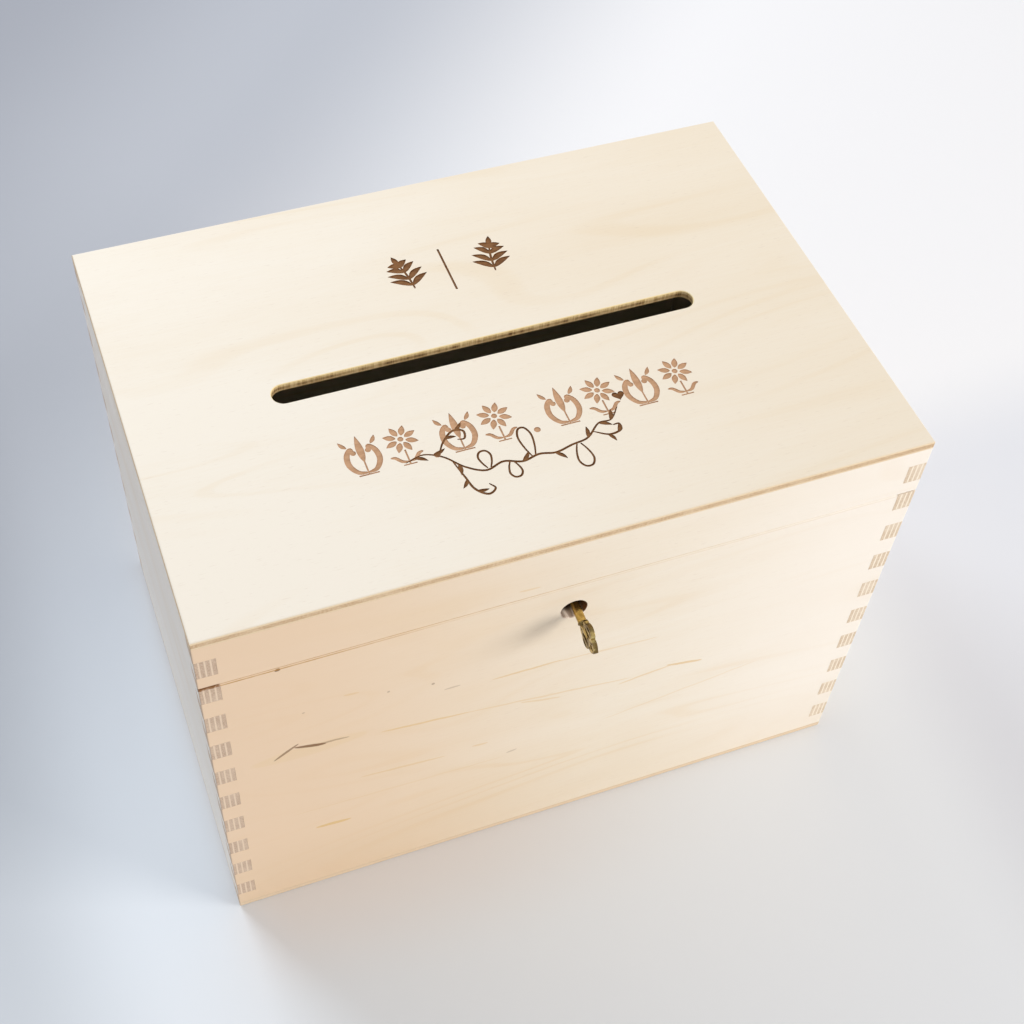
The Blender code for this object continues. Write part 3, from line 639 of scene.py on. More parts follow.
def burnt(name, colour, deep, raster, seed):
    """Wood that a laser has burnt. Raster is the distance between its passes."""
    look = Look(name, IOR=1.45, Specular_IOR_Level=0.2, Roughness=0.75)
    blot = look.noise(look.place, (260, 700, 260), 3.0, 0.6, 0.0, (seed, 0, 0))
    line = look.math("SINE", look.times(look.parts[1], 2 * math.pi / raster))
    share = look.math("MULTIPLY_ADD", line, 0.12, look.ramp(blot, 0.3, 0.7), clamp=True)
    height = look.math("MULTIPLY_ADD", line, 0.25, blot)
    return look.finish(Base_Color=look.mix(share, deep, colour), Normal=look.bump(height, 0.05 * MM, 0.6))


def slot_wall():
    """The slot's laser-cut walls: golden face plies, a charred core and vertical burns."""
    look = Look("laser_cut_edge", IOR=1.45, Specular_IOR_Level=0.25, Roughness=0.7)
    depth = look.math("SUBTRACT", LID_TOP, look.parts[2])
    ticks = look.noise(look.place, (900, 900, 60), 3.0, 0.65)
    patch = look.noise(look.place, 160, 2.0, 0.5)
    golden = look.mix(look.ramp(ticks, 0.35, 0.7), (0.56, 0.39, 0.18), (0.82, 0.66, 0.38))
    brown = look.mix(look.ramp(ticks, 0.3, 0.65), (0.12, 0.065, 0.03), (0.46, 0.31, 0.15))
    core = look.times(look.ramp(depth, 1.2 * MM, 1.7 * MM), look.fade(depth, 2.5 * MM, 2.9 * MM))
    colour = look.mix(look.times(core, look.ramp(patch, 0.3, 0.6, 0.3, 1.0)), golden, brown)
    colour = look.mix(look.ramp(depth, 0.25 * MM, 0.6 * MM, 0.8, 0.0), colour, (0.95, 0.80, 0.46))
    colour = look.mix(look.ramp(depth, 2.6 * MM, 3.5 * MM, 0.0, 0.4), colour, (0.22, 0.13, 0.05))
    return look.finish(Base_Color=colour, Normal=look.bump(ticks, 0.08 * MM, 0.6))


def keyhole_wall():
    """Drilled plywood in lit and shaded copies: pale at the lower left where the light falls, and painted
    shade brown at the upper right.
    """
    look = Look("drilled_edge", IOR=1.45, Specular_IOR_Level=0.2, Roughness=0.75)
    x, y, z = look.parts
    ticks = look.noise(look.place, (700, 120, 700), 3.0, 0.6)
    # Painted shade: the upper right of the wall turns brown
    slant = look.math("ADD", x, look.math("SUBTRACT", z, KEYHOLE_Z))
    painted_shade_share = look.ramp(slant, -0.5 * KEYHOLE_RADIUS, 0.5 * KEYHOLE_RADIUS)
    pale = look.mix(look.ramp(ticks, 0.35, 0.65), (0.50, 0.38, 0.30), (0.92, 0.80, 0.70))
    brown = look.mix(look.ramp(ticks, 0.3, 0.7), (0.07, 0.03, 0.012), (0.20, 0.09, 0.035))
    colour = look.mix(painted_shade_share, pale, brown)
    # Painted shade: darker deeper into the hole
    deep = look.ramp(y, -HALF_Y + 2.6 * MM, -HALF_Y + 5.6 * MM, 0.0, 0.95)
    colour = look.mix(deep, colour, (0.04, 0.02, 0.01))
    return look.finish(Base_Color=colour, Normal=look.bump(ticks, 0.08 * MM, 0.6))


def metal(name, bright, dull, roughness, wear):
    """Metal with a patchy patina and fine scratches."""
    look = Look(name, Metallic=1.0)
    patch = look.noise(look.place, 420, 4.0, 0.62)
    scratch = look.noise(look.place, (300, 9000, 2500), 2.0, 0.6)
    share = look.ramp(patch, 0.5 - wear / 2, 0.5 + wear / 2)
    colour = look.mix(share, dull, bright)
    colour = look.mix(look.ramp(scratch, 0.55, 0.8, 0.0, 0.25), colour, bright)
    rough = look.ramp(patch, 0.3, 0.7, roughness + 0.12, roughness - 0.06)
    height = look.math("MULTIPLY_ADD", scratch, 0.4, patch)
    return look.finish(Base_Color=colour, Roughness=rough, Normal=look.bump(height, 0.02 * MM, 0.5))


def key_metal():
    """A golden shaft and a darkened bow, worn bright in spots."""
    look = Look("key_metal", Metallic=1.0)
    patch = look.noise(look.place, 330, 2.0, 0.5)
    bow = look.ramp(look.parts[1], KEY_AT.y - 17.2 * MM, KEY_AT.y - 18.2 * MM)
    golden = look.mix(look.ramp(patch, 0.35, 0.65), (0.42, 0.27, 0.07), (0.66, 0.47, 0.15))
    antique = look.mix(look.ramp(patch, 0.42, 0.66), (0.20, 0.14, 0.055), (0.60, 0.47, 0.19))
    rough = look.ramp(patch, 0.3, 0.7, 0.36, 0.2)
    bump = look.bump(patch, 0.04 * MM, 0.3)
    return look.finish(Base_Color=look.mix(bow, golden, antique), Roughness=rough, Normal=bump)


# ---- the wooden box


def finger_spans():
    """(low, high) of the front and back panels' fingers, and of the side panels', in base and lid."""
    base = [SHEET, SHEET + END_FINGER]
    while base[-1] < BASE_TOP - FINGER / 2:
        base.append(base[-1] + FINGER)
    base[-1] = BASE_TOP
    lid = [RAIL_BOTTOM, RAIL_TOP - END_FINGER - FINGER, RAIL_TOP - END_FINGER, RAIL_TOP]
    spans = [[], []]
    for levels in (base, lid):
        for number, span in enumerate(zip(levels, levels[1:])):
            spans[number % 2].append(span)
    return spans


def finger_combs():
    """Boxes that cut the sides' fingers out of the front and back, and the reverse."""
    front, side = finger_spans()
    corners = ([], [])
    for sign in (-1, 1):
        left, right = sorted((sign * (INNER_X - SEAM), sign * (HALF_X + PAST)))
        near, far = sorted((sign * (INNER_Y - SEAM), sign * (HALF_Y + PAST)))
        for low, high in side:
            start = (left, -HALF_Y - PAST, low - SEAM / 2)
            corners[0].append((start, (right, HALF_Y + PAST, high + SEAM / 2)))
        for low, high in front:
            start = (-HALF_X - PAST, near, low - SEAM / 2)
            corners[1].append((start, (HALF_X + PAST, far, high + SEAM / 2)))
    return corners


def corner_easing():
    """Cutters that round the box's four upright corners."""
    arc = [math.pi / 2 * step / 5 for step in range(6)]
    rounded = [(CORNER_EASE * (math.sin(t) - 1), CORNER_EASE * (math.cos(t) - 1)) for t in arc]
    shape = [(PAST, PAST), (-CORNER_EASE, PAST), *rounded, (PAST, -CORNER_EASE)]
    outlines = []
    for across in (-1, 1):
        for along in (-1, 1):
            outlines.append([(across * (HALF_X + x), along * (HALF_Y + y)) for x, y in shape])
    return prisms("corner_easing", outlines, 2, -PAST, LID_TOP + PAST)


def rim_easing(axis):
    """Cutters that ease the outer edges of both rims, along the front and back or along the sides."""
    half, length = (HALF_Y, HALF_X + PAST) if axis == 0 else (HALF_X, HALF_Y + PAST)
    low, high = BASE_TOP - BASE_RIM_EASE, RAIL_BOTTOM + LID_RIM_EASE
    outlines = []
    for side in (-1, 1):
        face, outer = side * (half + 0.01 * MM), side * (half + PAST)
        lid_arris = (side * (half - LID_RIM_EASE), RAIL_BOTTOM)
        base_arris = (side * (half - BASE_RIM_EASE / 2), BASE_TOP)
        outlines.append([(face, low), (outer, low), (outer, high), (face, high), lid_arris, base_arris])
    return prisms("rim_easing", outlines, axis, -length, length)


def back_groove():
    """The chamfers along the back, which meet when the lid is open."""
    apex = HINGE_AXIS.y - 0.15 * MM  # just in front of the axis
    run = HALF_Y + PAST - apex
    rise = run * math.tan(LID_OPENS / 2)
    outline = [(apex, HINGE_AXIS.z), (apex + run, HINGE_AXIS.z - rise), (apex + run, HINGE_AXIS.z + rise)]
    return prisms("back_groove", [outline], 0, -HALF_X - PAST, HALF_X + PAST)


def middle_of(name):
    low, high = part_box(name)
    return (low + high) / 2


def hinge_recesses():
    """Mortises for the leaves and barrels, and pilot holes for the screws."""
    leaves, barrels, holes = [], [], []
    for side in ("left", "right"):
        low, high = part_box(f"hinge_{side}_base_leaf")
        near, far = low.x - LEAF_CLEARANCE, high.x + LEAF_CLEARANCE
        barrel = BARREL + LEAF_CLEARANCE
        front = HINGE_AXIS.y - barrel
        flat = LEAF_OFFSET + LEAF + LEAF_CLEARANCE
        start = (near, INNER_Y - PAST, HINGE_AXIS.z - flat)
        leaves.append((start, (far, front + 0.1 * MM, HINGE_AXIS.z + flat)))
        start = (near, front, HINGE_AXIS.z - barrel)
        barrels.append((start, (far, HALF_Y + PAST, HINGE_AXIS.z + barrel)))
        for number in (1, 2):
            holes.append(circle(middle_of(f"hinge_{side}_base_screw_{number}").xy, 0.75 * MM, 12))
    reach = 8.5 * MM
    pilots = prisms("hinge_pilots", holes, 2, HINGE_AXIS.z - reach, HINGE_AXIS.z + reach)
    return [blocks("leaf_mortises", leaves), blocks("barrel_mortises", barrels), pilots]


def screw_pilots(names):
    """Pilot holes for screws that point to the front."""
    holes = [circle(middle_of(name).xz, 1.0 * MM, 12) for name in names]
    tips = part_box(names[-1])[0].y
    return prisms("screw_pilots", holes, 1, tips - 0.3 * MM, -INNER_Y + PAST)


def keyhole(material):
    """Cutters for the round hole and its eased edge."""
    straight = circle((0, KEYHOLE_Z), KEYHOLE_RADIUS, 64)
    flared = circle((0, KEYHOLE_Z), KEYHOLE_RADIUS + 2 * KEYHOLE_EASE, 64)
    hole = prisms("keyhole", [straight], 1, -HALF_Y - PAST, -INNER_Y + PAST)
    edge = lofts("keyhole_edge", [(flared, straight)], 1, -HALF_Y - KEYHOLE_EASE, -HALF_Y + KEYHOLE_EASE)
    return [with_material(hole, material), with_material(edge, material)]


def panel(name, node, low, high, comb, material, cutters):
    """A wall or rail with its fingers. It stands for the CAD node."""
    piece = link(name, with_material(blocks(name, [(low, high)]), material))
    cut(piece, blocks(name + "_comb", comb))
    settle(add_bevel(piece, FINGER_EASE))
    cut(piece, *cutters)
    shade(piece)
    return carry(piece, node)


def carry(piece, node):
    """The piece rides on its CAD node's body and stands for the node."""
    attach(piece, frame["nodes"][node]["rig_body"])
    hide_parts(node)
    return piece


def build_walls(woods, hole_material):
    combs = finger_combs()
    lock_holes = screw_pilots([f"lock_screw_{number}" for number in (1, 2, 3, 4)])
    strike_holes = screw_pilots(["strike_screw_1", "strike_screw_2"])
    for prefix, kind, low, high, front_cuts in (
        ("", "panel", SHEET + SEAM, BASE_TOP, [*keyhole(hole_material), lock_holes]),
        ("lid_", "rail", RAIL_BOTTOM, RAIL_TOP - SEAM, [strike_holes]),
    ):
        low_corner, high_corner = (-HALF_X, -HALF_Y, low), (HALF_X, HALF_Y, high)
        for side, corners, comb, cuts in (
            ("front", (low_corner, (HALF_X, -INNER_Y, high)), combs[0], [rim_easing(0), *front_cuts]),
            ("back", ((-HALF_X, INNER_Y, low), high_corner), combs[0], [back_groove(), *hinge_recesses()]),
            ("left", (low_corner, (-INNER_X, HALF_Y, high)), combs[1], [rim_easing(1), back_groove()]),
            ("right", ((INNER_X, -HALF_Y, low), high_corner), combs[1], [rim_easing(1), back_groove()]),
        ):
            name = f"{prefix}{side}_{kind}"
            panel(name + "_wood", name, *corners, comb, woods[side], [corner_easing(), *cuts])


def sheet(name, z_low, z_high, eased, eased_at_top, material):
    """A thin sheet. One face's edges are rounded, and the upright corners with them."""
    corners = ((-HALF_X, -HALF_Y, z_low), (HALF_X, HALF_Y, z_high))
    piece = link(name, with_material(blocks(name, [corners]), material))
    shape = bmesh.new()
    shape.from_mesh(piece.data)
    middle = (z_low + z_high) / 2
    rim = [e for e in shape.edges if all((v.co.z > middle) == eased_at_top for v in e.verts)]
    bmesh.ops.bevel(shape, geom=rim, offset=eased, segments=4, profile=0.5, affect="EDGES")
    shape.to_mesh(piece.data)
    shape.free()
    return settle(add_bevel(cut(piece, corner_easing()), FINGER_EASE, angle=50))


# ---- the lid's ornaments, in millimetres


def turned_by(vector, degrees):
    return Matrix.Rotation(math.radians(degrees), 2) @ vector


def mirrored(outlines):
    return [[(-x, y) for x, y in outline[::-1]] for outline in outlines]


def moved(outlines, across, up):
    return [[(x + across, y + up) for x, y in outline] for outline in outlines]


def leaves_along(curve, shares, length, width):
    """Leaves on either side of a stem in turn."""
    found = []
    for number, share in enumerate(shares):
        place = int(share * (len(curve) - 2))
        along = (curve[place + 1] - curve[place]).normalized()
        side = 1 if number % 2 else -1
        root = curve[place]
        found.append(leaf(root, root + turned_by(along, 46 * side) * length, width, -0.4 * side))
    return found


LAUREL_LEAVES = ((0.12, 9.6), (0.38, 9.1), (0.64, 7.6), (0.86, 5.4))


def laurel(lean):
    """An upright sprig that leans over, with pairs of leaves and a bud."""
    stem = smooth([(-0.3 * lean, 0), (-0.15 * lean, 5), (0.1 * lean, 10), (0.55 * lean, 15.2)])
    shapes = [ribbon(stem, 1.0, 0.55)]
    for share, length in LAUREL_LEAVES:
        place = int(share * len(stem))
        along = (stem[place + 1] - stem[place]).normalized()
        for side in (-1, 1):
            tip = stem[place] + turned_by(along, 58 * side) * length
            shapes.append(leaf(stem[place], tip, 2.9, -0.8 * side))
    return [*shapes, leaf(stem[-1] - along * 0.5, stem[-1] + along * 5.2, 2.5)]


def lyre():
    """Two scrolls round a bud, on a foot."""
    curve = smooth([(0.3, 1.2), (3.6, 2.2), (5.9, 6.2), (5.6, 10.8), (3.6, 13.6), (2.9, 11.6)])
    side = [ribbon(curve, 2.3, 0.3), circle(curve[-1], 1.15, 16)]
    side.append(leaf((4.6, 14.4), (7.1, 18.2), 1.7, -0.3))
    bud = leaf((0, 6.2), (0, 19.6), 3.0)
    foot = [rectangle((-3.9, 0), (3.9, 0.6)), rectangle((-0.32, 0.3), (0.32, 7))]
    return [*side, *mirrored(side), bud, *foot]


def daisy():
    """Eight petals round a dot, on a stem with two curled leaves."""
    middle = Vector((0, 12.8))
    foot = [rectangle((-0.35, 0.3), (0.35, 7.4)), rectangle((-2.6, 0), (2.6, 0.55))]
    shapes = [circle(middle, 1.15, 20), *foot]
    for number in range(8):
        ray = turned_by(Vector((0, 1)), 45 * number + 22.5)
        shapes.append(leaf(middle + ray * 1.8, middle + ray * 6.9, 2.5, 0.0, 10))
    side = [ribbon(smooth([(0.2, 1.6), (2.6, 2.2), (4.6, 4.4), (6.4, 4.9)]), 1.5, 0.2)]
    return [*shapes, *side, *mirrored(side)]


def drop(x, y, half, height):
    """A slender loop that stands on the vine, or hangs from it if its height is negative."""
    right = [(0.25, 0.0), (0.75, 0.32), (1.0, 0.68), (0.62, 0.93)]
    points = [(x + half * across, y + height * up) for across, up in right]
    left = [(2 * x - point[0], point[1]) for point in points[::-1]]
    return ribbon(smooth([*points, (x, y + height), *left]), 0.9, 0.6)


ROW_LOW = -48.3
ROW = (
    (lyre, -64.5), (daisy, -48.5), (lyre, -27.0), (daisy, -11.0),
    (lyre, 15.5), (daisy, 31.5), (lyre, 48.0), (daisy, 64.5),
)
ROW_DOTS = (-37.8, 2.2)
VINE = (
    (-50.3, -47.2), (-43.0, -45.4), (-36.0, -48.8), (-30.0, -55.6), (-23.0, -59.6),
    (-15.5, -57.6), (-8.5, -59.8), (-1.5, -58.4), (5.0, -59.6), (12.0, -58.0),
    (19.0, -56.6), (25.5, -51.2), (31.0, -50.8), (35.6, -45.6),
)
VINE_LEAVES = (0.04, 0.12, 0.21, 0.47, 0.62, 0.78, 0.86, 0.93)
TENDRILS = (
    ((-33.6, -51.2), (-31.6, -60.0), (-30.0, -66.6), (-26.0, -70.4), (-22.6, -68.6), (-24.2, -65.8)),
    ((-37.4, -47.6), (-33.6, -41.6), (-28.6, -37.6), (-24.8, -38.8), (-25.4, -42.4), (-28.2, -42.2)),
    ((22.0, -54.4), (27.4, -57.6), (32.4, -56.8), (33.0, -53.8), (30.6, -53.6)),
)
DROPS = (
    (-21.4, -58.8, 2.5, 8.4), (-12.6, -58.4, 2.4, -7.8),
    (-3.6, -58.6, 2.7, 14.5), (14.6, -58.2, 3.0, -11.4),
)


def flourish():
    """A vine across the row's foot, with drops, curled tendrils and a heart."""
    stems = [smooth(points, 10) for points in (VINE, *TENDRILS)]
    shapes = [ribbon(stem, 1.0, 0.4) for stem in stems] + [drop(*values) for values in DROPS]
    shapes += leaves_along(stems[0], VINE_LEAVES, 5.6, 1.7)
    for stem in stems[1:]:
        shapes += leaves_along(stem, (0.25, 0.45), 4.6, 1.5)
    return [*shapes, heart((38.4, -40.4), 5.0)]


def engraving(dark, light):
    """Cutters for the lid's ornaments."""
    row = [circle((x, ROW_LOW + 1.3), 1.3, 20) for x in ROW_DOTS]
    for shape, x in ROW:
        row += moved(shape(), x, ROW_LOW)
    pair = moved(laurel(-3.0), -18.4, 38.9) + moved(laurel(3.0), 18.2, 38.9)
    lines = [*pair, rectangle((-1.95, 33.4), (-1.05, 57.9)), *flourish()]
    cutters = []
    for name, outlines, depth, material in (
        ("row", row, LIGHT_DEPTH, light),
        ("lines", lines, DARK_DEPTH, dark),
    ):
        scaled = [[(x * MM, y * MM) for x, y in outline] for outline in outlines]
        cutters.append(with_material(prisms(name, scaled, 2, LID_TOP - depth, LID_TOP + PAST), material))
    return cutters


def build_sheets(woods):
    slot = stadium(SLOT_LENGTH, SLOT_WIDTH)
    flared = stadium(SLOT_LENGTH + 4 * SLOT_EASE, SLOT_WIDTH + 4 * SLOT_EASE)
    through = prisms("slot", [slot], 2, RAIL_TOP - PAST, LID_TOP + PAST)
    edge = lofts("slot_edge", [(slot, flared)], 2, LID_TOP - SLOT_EASE, LID_TOP + SLOT_EASE)
    walls = slot_wall()
    dark = burnt("dark_engraving", (0.25, 0.115, 0.042), (0.165, 0.07, 0.024), 0.25 * MM, 1.0)
    light = burnt("light_engraving", (0.58, 0.345, 0.20), (0.47, 0.27, 0.15), 0.25 * MM, 2.0)
    top = sheet("lid_top_wood", RAIL_TOP, LID_TOP, TOP_EASE, True, woods["top"])
    cut(top, with_material(through, walls), with_material(edge, walls))
    cut(top, *engraving(dark, light), crossing=True)
    shade(top)
    carry(top, "lid_top_panel")
    bottom = sheet("bottom_wood", 0.0, SHEET, BOTTOM_EASE, False, woods["bottom"])
    shade(bottom)
    carry(bottom, "bottom_panel")


# ---- the key

TIP = -2.0 * MM
TIP_RIM = 0.15 * MM
BORE = 1.3 * MM
BORE_END = 6.0 * MM


def lathe(name, profile, sides=40):
    """A turned solid about Z. The profile is (radius, height) and starts and ends on the axis."""
    shape = bmesh.new()
    rings = []
    for radius, height in profile:
        if radius == 0:
            rings.append([shape.verts.new((0, 0, height))])
        else:
            rings.append([shape.verts.new((*point, height)) for point in circle((0, 0), radius, sides)])
    for first, second in zip(rings, rings[1:]):
        for number in range(sides):
            corners = [first[number - 1], first[number]] if len(first) > 1 else [first[0]]
            corners += [second[number], second[number - 1]] if len(second) > 1 else [second[0]]
            shape.faces.new(corners)
    return as_mesh(shape, name)


def bead(middle, radius, half):
    """The profile of a round bead on the shaft."""
    turns = [math.pi * step / 6 for step in range(7)]
    return [
        (SHAFT_RADIUS + (radius - SHAFT_RADIUS) * math.sin(t), middle - half * math.cos(t)) for t in turns
    ]


def around(discs, steps=120):
    """The outer line of overlapping discs: the farthest point in each direction from the middle."""
    points = []
    for step in range(steps):
        turn = 2 * math.pi * step / steps
        ray = Vector((math.cos(turn), math.sin(turn)))
        farthest = 0.0
        for centre, radius in discs:
            along = ray.dot(centre)
            spare = radius ** 2 - centre.length_squared + along ** 2
            if spare >= 0:
                farthest = max(farthest, along + math.sqrt(spare))
        points.append(tuple(ray * farthest))
    return points


def bow_plate():
    """The bow: a scalloped oval with square shoulders and a point at its end, pierced like tracery."""
    discs = [((0.0, 0.0), 4.3), ((0.0, 3.7), 3.3), ((0.0, 6.6), 0.9)]
    windows = [leaf((0, 3.3), (0, 6.4), 1.9)]
    for side in (-1, 1):
        discs += [((3.0 * side, -0.2), 3.4), ((2.2 * side, -3.5), 2.4), ((2.4 * side, -5.2), 0.9)]
        windows += [
            leaf((2.5 * side, -3.3), (2.7 * side, 2.5), 2.1, 0.5 * side),
            leaf((4.9 * side, -2.0), (4.9 * side, 1.9), 1.3, -0.2 * side),
            circle((1.75 * side, 3.9), 0.6, 14),
            circle((1.9 * side, -4.6), 0.5, 14),
        ]
    outline = around([(Vector(centre) * MM, radius * MM) for centre, radius in discs])
    holes = [[(x * MM, y * MM) for x, y in window] for window in windows]
    plate = link("key_bow", prisms("key_bow", [outline], 0, -0.9 * MM, 0.9 * MM))
    cut(plate, prisms("key_windows", holes, 0, -2 * MM, 2 * MM))
    mesh = settle(add_bevel(plate, 0.3 * MM, 3, 50)).data
    bpy.data.objects.remove(plate)
    mesh.transform(Matrix.Translation((0, 0, BOW_CENTRE)))
    return mesh


def key_shaft():
    """The shaft, a bead where the bow starts, and a spine along the bow."""
    neck = BOW_CENTRE - 6.1 * MM
    profile = [(0, TIP), (SHAFT_RADIUS - TIP_RIM, TIP), (SHAFT_RADIUS, TIP + TIP_RIM)]
    profile += bead(neck - 0.1 * MM, SHAFT_RADIUS + 0.3 * MM, 0.35 * MM)
    profile += [(1.5 * MM, neck + 0.8 * MM), (1.15 * MM, neck + 2.6 * MM)]
    profile += [(1.2 * MM, BOW_CENTRE + 0.6 * MM), (0.8 * MM, BOW_CENTRE + 2.4 * MM)]
    profile += [(0, BOW_CENTRE + 3.4 * MM)]
    return lathe("key_shaft", profile)


def key_bore():
    """The cutter for the hollow in the shaft's end, with its mouth eased."""
    start = TIP - 1 * MM
    profile = [(0, start), (BORE + TIP_RIM, start), (BORE + TIP_RIM, TIP), (BORE, TIP + TIP_RIM)]
    return lathe("key_bore", [*profile, (BORE, BORE_END - 0.4 * MM), (0, BORE_END)])


def build_key(material):
    """The key, made along Z with its bit towards Y, and then laid on its joint's axis."""
    piece = link("key_brass", key_shaft())
    bit = blocks("key_bit", [((-0.7 * MM, 0.8 * MM, -1.5 * MM), (0.7 * MM, 5.0 * MM, 1.5 * MM))])
    ward = blocks("key_ward", [((-2 * MM, 3.8 * MM, 0.9 * MM), (2 * MM, 7 * MM, 3 * MM))])
    notch = blocks("key_notch", [((-2 * MM, 3.4 * MM, -0.35 * MM), (2 * MM, 7 * MM, 0.05 * MM))])
    combine(piece, "UNION", [bow_plate(), bit])
    cut(piece, ward, notch)
    cut(piece, key_bore())
    hand = -KEY_AXIS.normalized()
    up = hand.cross(Vector((1, 0, 0)))
    turn = Matrix((Vector((1, 0, 0)), up, hand)).transposed().to_4x4()
    piece.data.transform(Matrix.Translation(KEY_AT) @ turn)
    piece.data.materials.clear()
    piece.data.materials.append(material)
    shade(piece, 35)
    return carry(piece, "key")


# ---- the metal that the CAD already has


def dress_metal(looks):
    """The hinges and the lock keep their CAD shapes, with a small bevel and a metal of their own."""
    for name, node in frame["nodes"].items():
        if node.hide_render:
            continue
        slot = SLOT_OF[name]
        kind = "screw" if "screw" in name and slot == "brass" else slot
        node.data.materials.clear()
        node.data.materials.append(looks[kind])
        weld = node.modifiers.new("weld", "WELD")
        weld.merge_threshold = 0.005 * MM
        add_bevel(node, 0.06 * MM if "screw" in name else 0.1 * MM, angle=40)


# ---- floor, light and camera

CAMERA_AT = (-168.95 * MM, -400.55 * MM, 663.56 * MM)
CAMERA_AZIMUTH = -23.08
CAMERA_ELEVATION = 53.0
CAMERA_ROLL = 3.81
CAMERA_LENS = 55.36
CAMERA_SHIFT = (0.0311, 0.0254)


def build_camera():
    data = bpy.data.cameras.new("camera")
    data.lens = CAMERA_LENS
    data.sensor_width = 36
    data.shift_x, data.shift_y = CAMERA_SHIFT
    data.clip_start, data.clip_end = 0.01, 50
    camera = link("camera", data)
    turn, rise = math.radians(CAMERA_AZIMUTH), math.radians(CAMERA_ELEVATION)
    back = Vector((math.sin(turn) * math.cos(rise), -math.cos(turn) * math.cos(rise), math.sin(rise)))
    camera.rotation_mode = "QUATERNION"
    roll = Matrix.Rotation(math.radians(CAMERA_ROLL), 4, "Z").to_quaternion()
    camera.rotation_quaternion = (-back).to_track_quat("-Z", "Y") @ roll
    camera.location = CAMERA_AT
    bpy.context.scene.camera = camera


FLOOR_RADIUS = 7.0
FLOOR_FRONT = (0.83, 0.86, 0.90)
# Painted light and shade on the floor: the right, back right, left, warm, behind and far tones stand for
# how the lamps and the box light and shade it
FLOOR_RIGHT_SHADE = (0.67, 0.68, 0.72)
FLOOR_BACK_RIGHT_SHADE = (0.78, 0.775, 0.785)
FLOOR_LEFT_COOL_SHADE = (0.70, 0.745, 0.80)
FLOOR_WARM_CONTACT_SHADE = (0.72, 0.64, 0.60)
FLOOR_BEHIND_SHADE = (0.41, 0.425, 0.465)
FLOOR_FAR_SHADE = (0.29, 0.30, 0.335)
FLOOR_SHADE = (0.05, 0.05, 0.06)
FLOOR_AROUND = (0.64, 0.655, 0.685)


def build_floor():
    """A wide pale floor painted with light and shade: cool painted shade at the left, painted shade behind
    and to the box's right, a warm painted shade along the box's front, and plain farther out.
    """
    look = Look("studio_floor", Roughness=0.7, Specular_IOR_Level=0.15)
    x, y = look.parts[:2]
    away = look.math("SUBTRACT", y, x)
    colour = look.mix(look.ramp(x, 0.16, 0.24), FLOOR_FRONT, FLOOR_RIGHT_SHADE)
    colour = look.mix(look.ramp(y, 0.02, 0.1), colour, FLOOR_BACK_RIGHT_SHADE)
    colour = look.mix(look.fade(x, -0.2, 0.2), colour, FLOOR_LEFT_COOL_SHADE)
    near_front = look.ramp(y, -0.16, -0.105, 0.0, 0.4)
    # Painted shade: a warm shade along the box's front
    along = look.times(near_front, look.ramp(x, -0.16, -0.12), look.fade(x, -0.05, 0.1))
    colour = look.mix(along, colour, FLOOR_WARM_CONTACT_SHADE)
    colour = look.mix(look.ramp(away, 0.08, 0.45), colour, FLOOR_BEHIND_SHADE)
    colour = look.mix(look.ramp(away, 0.45, 0.75), colour, FLOOR_FAR_SHADE)
    colour = look.mix(look.ramp(x, -0.25, -0.18, 0.2, 0.0), colour, FLOOR_SHADE)
    radius = look.math("SQRT", look.math("MULTIPLY_ADD", x, x, look.times(y, y)))
    colour = look.mix(look.ramp(radius, 0.7, 1.1), colour, FLOOR_AROUND)
    disc = prisms("studio_floor", [circle((0, 0), FLOOR_RADIUS, 96)], 2, -20 * MM, -0.2 * MM)
    link("studio_floor", with_material(disc, look.finish(Base_Color=colour)))


def area_light(name, at, target, size, power, colour):
    data = bpy.data.lights.new(name, "AREA")
    data.shape = "RECTANGLE"
    data.size, data.size_y = size
    data.energy = power
    data.color = colour
    lamp = link(name, data)
    lamp.location = at
    direction = Vector(target) - Vector(at)
    lamp.rotation_mode = "QUATERNION"
    lamp.rotation_quaternion = direction.to_track_quat("-Z", "Y")


WORLD_STRENGTH = 0.56
WORLD_BACKWARD = (-0.5, 0.86, 0.0)  # the direction in which the room turns from warm to cool
WORLD_WARM = (1.22, 1.14, 1.06)
WORLD_COOL = (0.93, 0.98, 1.06)
WORLD_TURN = 0.6  # how far along that direction the change starts and ends


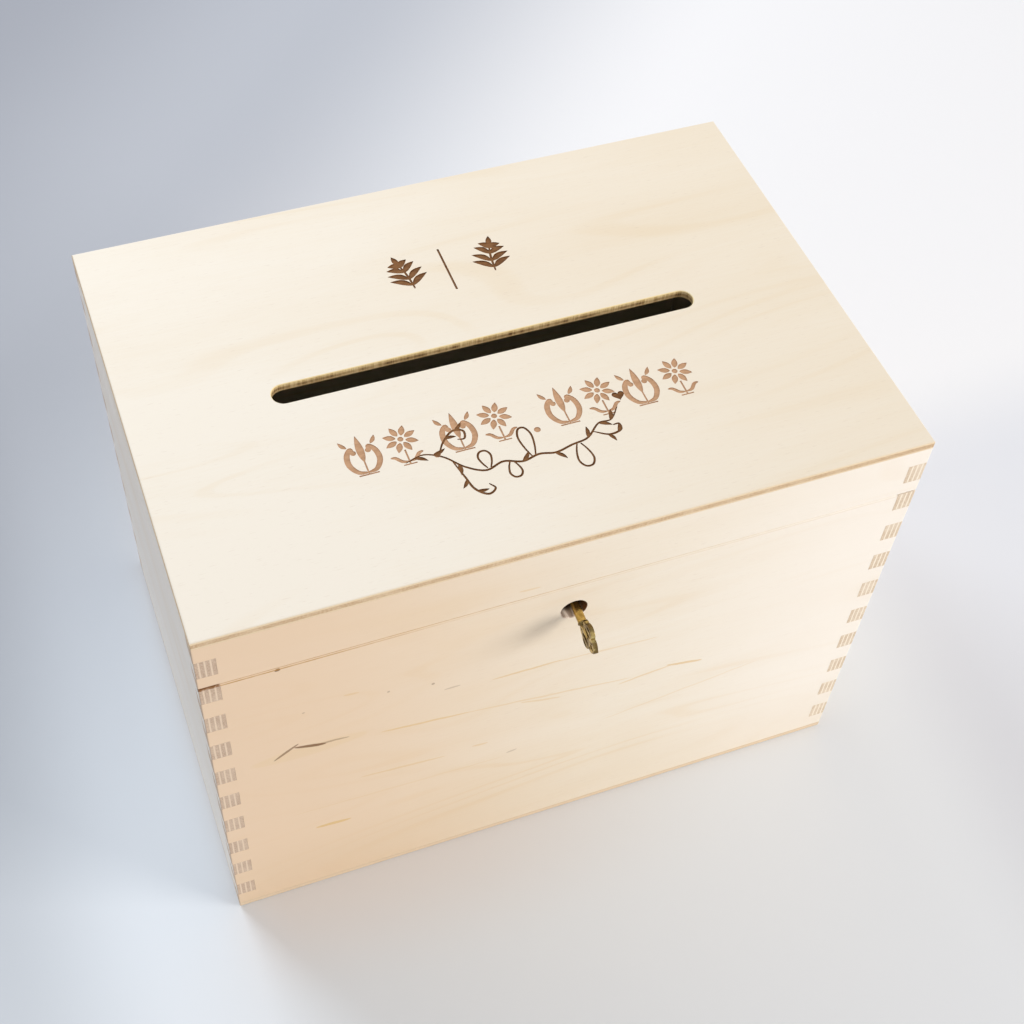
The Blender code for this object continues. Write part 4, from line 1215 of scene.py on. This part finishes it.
def build_world():
    """A soft room, warm in front of the box and cool behind it."""
    world = bpy.data.worlds.new("studio_world")
    world.use_nodes = True
    nodes = Nodes(world.node_tree)
    direction = nodes.node("ShaderNodeTexCoord").outputs["Generated"]
    inputs = {0: direction, 1: WORLD_BACKWARD}
    behind = nodes.node("ShaderNodeVectorMath", inputs, operation="DOT_PRODUCT").outputs["Value"]
    inputs = {"Value": behind, "From Min": -WORLD_TURN, "From Max": WORLD_TURN}
    share = nodes.node("ShaderNodeMapRange", inputs)
    background = world.node_tree.nodes["Background"]
    tint = nodes.mix(share.outputs["Result"], WORLD_WARM, WORLD_COOL)
    nodes.feed(background.inputs["Color"], tint)
    nodes.feed(background.inputs["Strength"], WORLD_STRENGTH)
    bpy.context.scene.world = world


# A warm window at the right and a cool one behind: place, target, size, power and colour
LAMPS = {
    "right_window": ((1.9, -1.34, 0.775), (0.02, -0.05, 0.12), (1.1, 1.0), 40.0, (1.0, 0.955, 0.90)),
    "back_window": ((-0.5, 1.5, 1.25), (0.0, 0.0, 0.1), (1.1, 0.9), 26.5, (0.88, 0.94, 1.0)),
}


def main():
    build_camera()
    front = birch("birch_front", 1, 0, -HALF_Y, 1.0, tone_and_shading=front_tone_and_shading, marks=front_veneer_and_shading, worn=front_wear)
    woods = {
        "front": front,
        "back": birch("birch_back", 1, 0, HALF_Y, 2.0),
        "left": birch("birch_left", 0, 1, -HALF_X, 3.0, marks=side_veneer_and_shade, worn=chipped_end),
        "right": birch("birch_right", 0, 1, HALF_X, 4.0, edges=PAINTED_LIGHT_EDGES),
        "top": birch("birch_top", 2, 0, LID_TOP, 5.0, SHEET_PLIES, GOLDEN_EDGES, top_tone_and_sheen, figure=0.55),
        "bottom": birch("birch_bottom", 2, 1, 0.0, 6.0, SHEET_PLIES, SOFT_EDGES),
    }
    build_walls(woods, keyhole_wall())
    build_sheets(woods)
    build_key(key_metal())
    dress_metal({
        "brass": metal("hinge_brass", (0.80, 0.60, 0.26), (0.62, 0.43, 0.17), 0.26, 0.6),
        "screw": metal("screw_brass", (0.78, 0.58, 0.26), (0.58, 0.40, 0.16), 0.3, 0.6),
        "antique_brass": metal("plate_brass", (0.50, 0.37, 0.15), (0.24, 0.16, 0.06), 0.36, 0.6),
        "zinc_steel": metal("zinc_plate", (0.66, 0.66, 0.64), (0.46, 0.46, 0.45), 0.3, 0.7),
    })
    build_floor()
    build_world()
    for name, values in LAMPS.items():
        area_light(name, *values)
    bpy.context.scene.view_settings.view_transform = "Standard"


main()
